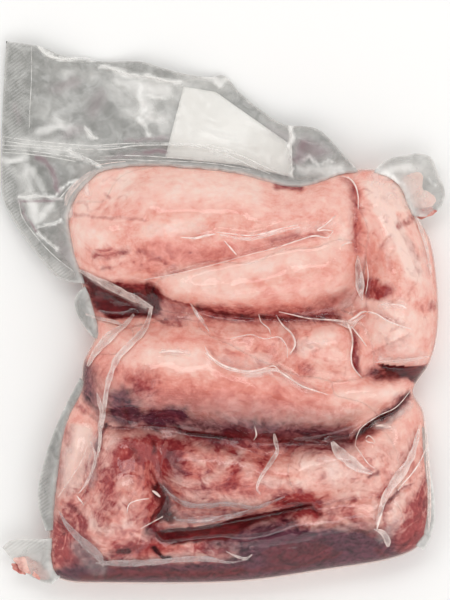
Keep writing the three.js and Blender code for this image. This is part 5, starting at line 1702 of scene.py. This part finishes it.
def makeLabel():
    outline = np.array(label["outline"], float)
    rim = evenly(np.vstack([outline, outline[:1]]), label["rimStep"])[:-1]
    x, y = np.meshgrid(np.arange(-36, 45, label["step"]), np.arange(78, 138, label["step"]))
    x, y = x.ravel(), y.ravel()
    kept = isInside(rim, x, y) & (distanceToLine(rim, x, y) > label["rimClear"])
    x, y = np.r_[rim[:, 0], x[kept]], np.r_[rim[:, 1], y[kept]]
    flat, faces = netOver(x, y)
    faces = faceUp(flat, faces[isInside(rim, *flat[faces].mean(axis=1).T)])
    x, y = flat.T
    top = filmHeight(x, y) + label["top"] + 0.12 * softNoise(x, y, 12, 31)
    sheet = closedSheet(flat, top, top - label["thickness"], faces, rimOf(faces))
    piece = newPiece("labelPaperSheet", *sheet, labelPaper())
    # painted shade: the paper is darker past its two fold lines and over its lower part, where it bends away
    lineA = smoothStep((y - 88) - 0.95 * (x + 34), -3, 3)      # past the first fold
    lineB = smoothStep((x - 14) - 0.2 * (y - 100), -2, 2)
    fold = np.clip(0.3 * lineA + 0.5 * lineB + 0.5 * smoothStep(-y, -104, -96), 0, 1)
    paintPoints(piece, fold=np.r_[fold, fold])
    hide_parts("label")


makeLabel()
print("label ready")

scraps = {
    # place, half length, half width, turn in degrees, fatness, blood
    "earScrapA": ((112, 71), 13, 9, 60, 1.0, 0),
    "earScrapB": ((119.5, 67.5), 8, 6, -25, 0.95, 0),
    "earScrapC": ((120.5, 59.5), 8, 3, 12, 0.6, 0.5),
    "cornerScrapA": ((-115.5, -152), 10, 4.5, -22, 0.85, 0.15),
    "cornerScrapB": ((-108.5, -157), 6, 3.5, -5, 0.7, 0.3),
    "cornerScrapC": ((-122.5, -154), 5, 2.5, -30, 0.6, 0.4),
}


def makeScrap(name, place, halfLength, halfWidth, turn, fatness, blood):
    # a torn bit of fat pressed flat between the film layers
    rings, around = 10, 28
    turns = np.linspace(0, 2 * np.pi, around, endpoint=False)
    lift, spin = np.meshgrid(np.linspace(-1, 1, rings + 1)[1:-1], turns, indexing="ij")
    ragged = 1 + 0.3 * softNoise(np.cos(spin) * 3 + place[0], np.sin(spin) * 3 + place[1], 1.7, 51)
    wide = np.sqrt(1 - lift ** 2) ** 0.7 * ragged
    u, v = halfLength * wide * np.cos(spin), halfWidth * wide * np.sin(spin)
    c, s = math.cos(math.radians(turn)), math.sin(math.radians(turn))
    x, y = place[0] + c * u - s * v, place[1] + s * u + c * v
    middle = filmHeight(np.array([place[0]]), np.array([place[1]]))[0] + 0.6
    z = middle + 1.3 * lift + 0.4 * softNoise(x, y, 3, 52)
    places = [np.stack([x, y, z], axis=-1).reshape(-1, 3), [[place[0], place[1], middle - 1.3]],
              [[place[0], place[1], middle + 1.3]]]
    faces = []
    last = (rings - 2) * around
    bottom, top = (rings - 1) * around, (rings - 1) * around + 1
    for i in range(rings - 2):
        for k in range(around):
            a, b = i * around + k, i * around + (k + 1) % around
            faces.append((a, b, b + around, a + around))
    for k in range(around):
        faces.append((bottom, (k + 1) % around, k))
        faces.append((top, last + k, last + (k + 1) % around))
    places = np.vstack(places)
    piece = newPiece(name, places, faces, porkMaterial)
    none = np.zeros(len(places))
    paintPoints(piece, fat=none + fatness, red=none + blood, deep=none, bruise=none, marbled=none + 0.3)
    paintFibreWay(piece, places * mm)


for name, values in scraps.items():
    makeScrap(name, *values)
print("scraps ready")

studio = {
    "cameraHeight": 2.417, "lens": 240, "look": (1.5, 7.5),
    "floor": "#f6f5f3", "floorReach": 3, "floorDrop": 0.0004, "walls": 1.06, "ceiling": 0.22,
    "keyPlace": (-0.15, 0.72, 1.45), "keySize": (1.4, 0.5), "keyPower": 6.1,
    "fillPlace": (0.45, -0.75, 1.4), "fillSize": (1.6, 1.2), "fillPower": 7.1,
}


def makeSoftbox(name, place, size, power):
    light = bpy.data.lights.new(name, "AREA")
    light.shape = "RECTANGLE"
    light.size, light.size_y = size
    light.energy = power
    lamp = bpy.data.objects.new(name, light)
    lamp.location = place
    lamp.rotation_euler = (Vector((0, 0, 0.03)) - Vector(place)).to_track_quat("-Z", "Y").to_euler()
    bpy.context.scene.collection.objects.link(lamp)


def makeStudio():
    mesh = bpy.data.meshes.new("floor")
    reach, drop = studio["floorReach"], studio["floorDrop"]
    corners = [(-reach, -reach), (reach, -reach), (reach, reach), (-reach, reach)]
    mesh.from_pydata([(x, y, -drop) for x, y in corners], [], [(0, 1, 2, 3)])
    floor = bpy.data.objects.new("floor", mesh)
    bpy.context.scene.collection.objects.link(floor)
    material, tree = newMaterial("paleTable")
    surface = addNode(tree, "ShaderNodeBsdfPrincipled", {
        "Base Color": linear(studio["floor"]), "Roughness": 0.6})
    addNode(tree, "ShaderNodeOutputMaterial", {"Surface": surface.outputs[0]})
    mesh.materials.append(material)
    makeSoftbox("keyLight", studio["keyPlace"], studio["keySize"], studio["keyPower"])
    makeSoftbox("fillLight", studio["fillPlace"], studio["fillSize"], studio["fillPower"])
    world = bpy.data.worlds.new("studio")
    world.use_nodes = True
    world.node_tree.nodes.clear()
    # pale walls and a dim ceiling, so that flat film doesn't mirror white over the meat
    way = addNode(world.node_tree, "ShaderNodeTexCoord").outputs["Generated"]
    upward = addNode(world.node_tree, "ShaderNodeSeparateXYZ", {0: way}).outputs["Z"]
    glow = addNode(world.node_tree, "ShaderNodeMapRange", {
        0: upward, 1: 0.65, 2: 0.92, 3: studio["walls"], 4: studio["ceiling"]}).outputs[0]
    sky = addNode(world.node_tree, "ShaderNodeBackground", {"Color": (1, 1, 1, 1), "Strength": glow})
    addNode(world.node_tree, "ShaderNodeOutputWorld", {"Surface": sky.outputs[0]})
    bpy.context.scene.world = world
    bpy.context.scene.view_settings.view_transform = "Standard"
    lens = bpy.data.cameras.new("camera")
    lens.lens = studio["lens"]
    lens.sensor_width = 36
    camera = bpy.data.objects.new("camera", lens)
    camera.location = (studio["look"][0] * mm, studio["look"][1] * mm, studio["cameraHeight"])
    bpy.context.scene.collection.objects.link(camera)
    bpy.context.scene.camera = camera


makeStudio()
print("studio ready")
